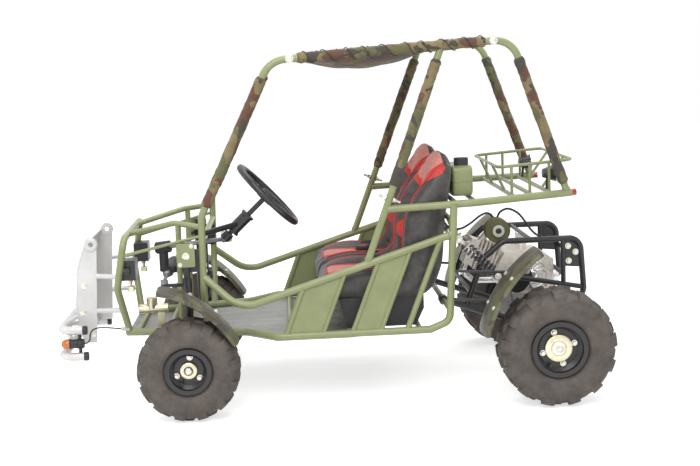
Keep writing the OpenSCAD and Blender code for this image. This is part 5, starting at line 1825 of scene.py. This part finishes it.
@dataclass
class Nose:
    """Trims of the silver guard, the bumper's end caps (one of them painted shade), the lamps' fittings and
    the strut towers' covers.
    """

    half_w: float = 0.210
    signal_z: float = 0.251
    bezel: Tuple[float, float, float] = (0.7415, 0.214, 0.496)
    bezel_half: Tuple[float, float] = (0.035, 0.033)
    screw_at: Tuple[float, float] = (0.712, 0.214)

    def build(self) -> None:
        """Makes the guard's trims, the bumper's, the lamps' and the towers' covers."""
        self.guard()
        self.bumper()
        self.signals()
        self.headlamps()
        self.towers()

    def guard(self) -> None:
        """A rolled edge down each side of the guard, and the bolts on its cheeks."""
        edge = [[0.889, 0.2335], [0.9105, 0.352], [0.9035, 0.430], [0.8975, 0.505], [0.8665, 0.588]]
        line = spline([[x, self.half_w - 0.003, z] for x, z in edge], 70)
        roll = sweep(line, 0.0042, 12, LEFT).both()
        piece("guard_rolled_edges", roll, SILVER, 50)
        ring = [[0.0095, 0], [0.020, 0], [0.0225, 0.0014], [0.0225, 0.0026], [0.020, 0.004]]
        ring += [[0.0095, 0.004], [0.0095, 0]]
        eyes = lathe(ring, pt(AX + 0.346, 0.2140, 0.590), LEFT, 44).both()
        piece("guard_eye_rims", eyes, SILVER, 35)
        spots = [pt(0.879, self.half_w, 0.441), pt(0.888, self.half_w, 0.342), pt(0.860, self.half_w, 0.262)]
        heads = [bolts(spots, LEFT, 0.0085, 0.008).both()]
        front = [pt(0.9075, y, 0.405) for y in (-0.120, 0.120)]
        heads.append(bolts(np.array(front), pt(1, 0, 0.09), 0.0085, 0.008))
        piece("guard_bolts", Patch.join(heads), PALE_ZINC, 30)

    def bumper(self) -> None:
        """Black caps on the bars' ends: a real plug on the lower bar, and painted shade on the upper bar,
        whose open end is only dark inside.
        """
        caps = []
        # the upper cap (z 0.298) is painted shade: a black disc standing in for the shaded inside of the open
        # tube; the lower one is a real plug
        for z in BAR_Z:
            cap = [[0, -0.003], [0.0154, -0.003], [0.0158, 0], [0.0158, 0.010], [0.0140, 0.0125], [0, 0.013]]
            caps.append(lathe(cap, pt(BUMPER_X - 0.081, BUMPER_Y, z), -AHEAD, 32))
        piece("bumper_plug_and_painted_shade_caps", Patch.join(caps).both(), PLASTIC, 35)

    def signals(self) -> None:
        """Domed turn signals, with ribs round their bodies."""
        dome = [[0, 0], [0.0176, 0], [0.018, 0.001], [0.018, 0.012], [0.0168, 0.019], [0.0138, 0.025]]
        dome += [[0.0085, 0.0288], [0, 0.030]]
        lenses = lathe(dome, pt(0.928, BUMPER_Y, self.signal_z), AHEAD, 40).both()
        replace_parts(piece("turn_signal_domes", lenses, AMBER, 40), "indicator_lenses")
        a = ring_angles(48)
        collars = []
        for x, r in ((0.9262, 0.0172), (0.900, 0.0168), (0.884, 0.0168)):
            loop = pt(x, BUMPER_Y, self.signal_z) + np.stack([0 * a, r * np.cos(a), r * np.sin(a)], -1)
            collars.append(sweep(loop, 0.0016, 8, AHEAD, closed=True))
        piece("turn_signal_ribs", Patch.join(collars).both(), PLASTIC, 50)

    def headlamps(self) -> None:
        """A chrome bezel round each headlamp, a rounded rectangle, and the screw under it."""
        a = ring_angles(40)
        wide, tall = self.bezel_half
        corner = 0.22
        y, z = wide * signed_power(np.cos(a), corner), tall * signed_power(np.sin(a), corner)
        frames = sweep(np.array(self.bezel) + np.stack([0 * a, y, z], -1), 0.0030, 8, AHEAD, closed=True)
        piece("headlamp_bezels", frames.both(), CHROME, 50)
        x, y = self.screw_at
        screws = [bolts([pt(x, y, 0.460)], -UP, 0.009, 0.012)]
        screws.append(rod(pt(x, y, 0.452), pt(x, y, 0.428), 0.0055))
        screws.append(pillow(pt(x, y, 0.424), (0.012, 0.010, 0.010), 0.35, 14))
        piece("headlamp_screws", Patch.join(screws).both(), ZINC, 35)

    def towers(self) -> None:
        """The strut towers' covers, each with a boss and two bolts."""
        cover = pillow(pt(0.499, 0.3497, 0.556), (0.032, 0.0022, 0.042), 0.16, 22).both()
        piece("strut_tower_covers", cover, GREEN, 45)
        boss = [[0, 0], [0.013, 0], [0.013, 0.002], [0.010, 0.003], [0, 0.003]]
        knobs = [lathe(boss, pt(0.499, 0.3515, 0.553), LEFT, 32)]
        knobs.append(bolts([pt(0.478, 0.3517, 0.588), pt(0.520, 0.3517, 0.524)], LEFT, 0.0055, 0.006))
        piece("strut_tower_bolts", Patch.join(knobs).both(), PALE_ZINC, 30)


@dataclass
class RearDeck:
    """The rounded tank with its seam, neck and cap grips, and the rear lamps' chrome rims and nuts."""

    tank: Tuple[float, float, float] = (-0.4875, 0.175, 0.7668)
    tank_half: Tuple[float, float, float] = (0.0393, 0.1148, 0.0548)
    tank_corner: float = 0.24
    cap: Tuple[float, float] = (-0.488, 0.250)
    grips: int = 28
    lamp_y: float = 0.228

    def build(self) -> None:
        """Makes the tank's pieces and the lamps'."""
        self.fuel_tank()
        self.lamps()

    def fuel_tank(self) -> None:
        """The tank's shell, its seam and neck, and the grips round its cap."""
        centre, half = np.array(self.tank), self.tank_half
        shell = piece("tank_shell", pillow(centre, half, self.tank_corner, 40), GREEN, 50)
        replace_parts(shell, "fuel_tank")
        a = ring_angles(120)
        px = half[0] * 0.985 * signed_power(np.cos(a), self.tank_corner)
        py = half[1] * 0.995 * signed_power(np.sin(a), self.tank_corner)
        trims = [sweep(centre + np.stack([px, py, 0 * a], -1), 0.0022, 8, UP, closed=True)]
        neck = [[0, -0.006], [0.027, -0.006], [0.027, 0], [0.0245, 0.002], [0, 0.002]]
        trims.append(lathe(neck, pt(*self.cap, 0.8205), UP, 40))
        piece("tank_seam", Patch.join(trims), GREEN, 50)
        ribs = []
        for t in ring_angles(self.grips):
            foot = pt(*self.cap, 0.8265) + 0.0246 * pt(math.cos(t), math.sin(t), 0)
            ribs.append(rod(foot, foot + UP * 0.019, 0.0013, 6))
        piece("tank_cap_grips", Patch.join(ribs), PLASTIC, 50)

    def lamps(self) -> None:
        """Chrome rims on the rear lamps, and the nuts under them."""
        rim = [[0.0270, 0], [0.0310, 0], [0.0322, 0.002], [0.0322, 0.006], [0.0300, 0.008], [0.0270, 0.007]]
        rim += [[0.0270, 0]]
        rims = lathe(rim, pt(RX - 0.060, self.lamp_y, 0.778), -AHEAD, 44).both()
        piece("rear_lamp_rims", rims, CHROME, 35)
        stems = rod(pt(RX - 0.034, self.lamp_y, 0.762), pt(RX - 0.034, self.lamp_y, 0.770), 0.0075)
        piece("rear_lamp_nuts", stems.both(), PALE_ZINC, 40)


@dataclass
class Fittings:
    """Weld beads on the frame, the steering wheel's pad, the joint's bolts and the pedals' treads."""

    bead: float = 0.0026

    def weld(self, centre: Array, axis: Array, r: float) -> Patch:
        """A rippled bead round a tube where it meets another.

        Args:
            centre: the middle of the ring.
            axis: the tube's direction.
            r: the tube's radius.

        Returns:
            The patch.
        """
        u, v = across(axis)
        a = ring_angles(64)[:, None]
        path = centre + (r + 0.0002) * (np.cos(a) * u + np.sin(a) * v)
        width = self.bead * (1 + 0.22 * np.sin(ring_angles(64) * 15))
        return sweep(path, width, 8, unit(axis), closed=True)

    def build(self) -> None:
        """Makes the beads, the pad, the bolts and the treads."""
        spots = []
        rail = unit(RAIL_DIP - RAIL_REAR)
        spots.append((RAIL_REAR + rail * 0.0150, rail, 0.013))
        for foot, head, lift in ((B_FOOT, B_HEAD, 0.0175), (C_FOOT, C_TOP, 0.0150)):
            axis = unit(head - foot)
            spots.append((foot + axis * lift, axis, 0.0125))
        for x in (RX + 0.250, RX + 0.105, RX + 0.040, RX - 0.030):
            p = at_x(RACK_BEND, RACK_REAR, x)
            spots.append((p - pt(0, 0.0138, 0), LEFT, 0.008))
        seat_bar = at_z(SILL_HEEL, SILL_TOP, 0.637)
        spots.append((seat_bar - pt(0, 0.0138, 0), LEFT, 0.010))
        for x in (RX + 0.460, RX + 0.705, RX + 0.915):
            spots.append((pt(x, 0.3862, 0.259), LEFT, 0.010))
        beads = Patch.join([self.weld(*spot) for spot in spots]).both()
        piece("weld_beads", beads, GREEN, 60)
        self.steering()
        self.pedals()

    def steering(self) -> None:
        """The wheel's padded hub with three bolts, and the joint's cross bolts."""
        face = WHEEL_C + COLUMN_DIR * 0.0022
        pad = [[0, 0], [0.0315, 0], [0.0315, 0.004], [0.029, 0.009], [0.020, 0.0125], [0, 0.0135]]
        piece("wheel_hub_pad", lathe(pad, face, -COLUMN_DIR, 44), PLASTIC, 45, Body.STEERING)
        u, v = across(COLUMN_DIR)
        heads = []
        for a in ring_angles(3) + math.pi / 2:
            spot = WHEEL_C + COLUMN_DIR * 0.003 + 0.052 * (math.cos(a) * u + math.sin(a) * v)
            heads.append(bolts([spot], -COLUMN_DIR, 0.0050, 0.005))
        back = JOINT_C - COLUMN_DIR * 0.014
        for s in SIDES:
            heads.append(bolts([back + v * s * 0.0178], v * s, 0.0070, 0.007))
        piece("steering_bolts", Patch.join(heads), PALE_ZINC, 30, Body.STEERING)

    def pedals(self) -> None:
        """Raised bars on each foot pad."""
        bars = []
        for y in (0.110, 0.250):
            for k in range(5):
                bars.append(pillow(pt(0.4262, y, 0.4115 + 0.0108 * k), (0.0026, 0.026, 0.0032), 0.4, 10))
        piece("pedal_treads", Patch.join(bars), PLASTIC, 50)


@dataclass
class Leads:
    """The black leads that show: one from the turn signal to the frame, and two at the engine."""

    thin: float = 0.005
    thick: float = 0.008

    def lead(
        self, name: str, points: Points, d: float
    ) -> None:
        """One free lead along a smooth line.

        Args:
            name: the piece's name.
            points: the points that it passes through, from its exit.
            d: its diameter.
        """
        path = spline(points, 90)
        obj = piece(name, sweep(path, d / 2, 12, self.square(path)), CORD, 60)

    def square(self, path: Array) -> Array:
        """The direction that the path runs along least."""
        step = np.abs(unit(np.gradient(path, axis=0))).max(0)
        return np.eye(3)[int(np.argmin(step))]

    def build(self) -> None:
        """Makes the leads and the signal lead's connector."""
        plug = [
            [0, 0], [0.0035, 0], [0.0045, 0.002], [0.0068, 0.004], [0.0068, 0.016], [0.0060, 0.018],
            [0.0060, 0.030], [0.004, 0.032], [0, 0.032],
        ]
        end = pt(0.757, 0.2185, 0.2805)
        axis = pt(-0.93, -0.28, -0.20)
        shell = lathe(plug, end - unit(axis) * 0.001, axis, 20)
        socket = piece("signal_connector", shell, WHITE_CAP, 35)
        self.lead(
            "turn_signal_lead",
            [
                [0.8778, 0.300, 0.251], [0.868, 0.300, 0.2515], [0.858, 0.2985, 0.262],
                [0.856, 0.293, 0.279], [0.848, 0.283, 0.2935], [0.829, 0.267, 0.2975],
                [0.802, 0.248, 0.2925], [0.778, 0.230, 0.2855], list(end),
            ],
            self.thin,
        )
        self.lead(
            "engine_lead",
            [
                [-0.4355, 0.110, 0.6268], [-0.437, 0.110, 0.612], [-0.446, 0.109, 0.590],
                [-0.470, 0.104, 0.574], [-0.505, 0.094, 0.571], [-0.545, 0.076, 0.588],
                [-0.580, 0.052, 0.608], [-0.610, 0.035, 0.6165], [-0.631, 0.027, 0.606],
                [-0.636, 0.024, 0.5822],
            ],
            self.thick,
        )
        self.lead(
            "throttle_cable",
            [
                [-0.650, 0.036, 0.5822], [-0.651, 0.037, 0.598], [-0.662, 0.045, 0.621],
                [-0.688, 0.066, 0.6335], [-0.718, 0.098, 0.620], [-0.738, 0.133, 0.592],
                [-0.752, 0.165, 0.5665], [-0.768, 0.190, 0.5495], [-0.783, 0.2005, 0.5455],
            ],
            self.thick,
        )


def main() -> None:
    """Builds every sub-assembly in order."""
    bpy.context.scene.view_settings.view_transform = "Standard"
    parts = (Studio, Chassis, RollCage, Wheels, Seats, Mudguards, Shocks, Chain, Engine, Nose, RearDeck)
    for part in (*parts, Fittings, Leads):
        part().build()


if __name__ == "__main__":
    main()
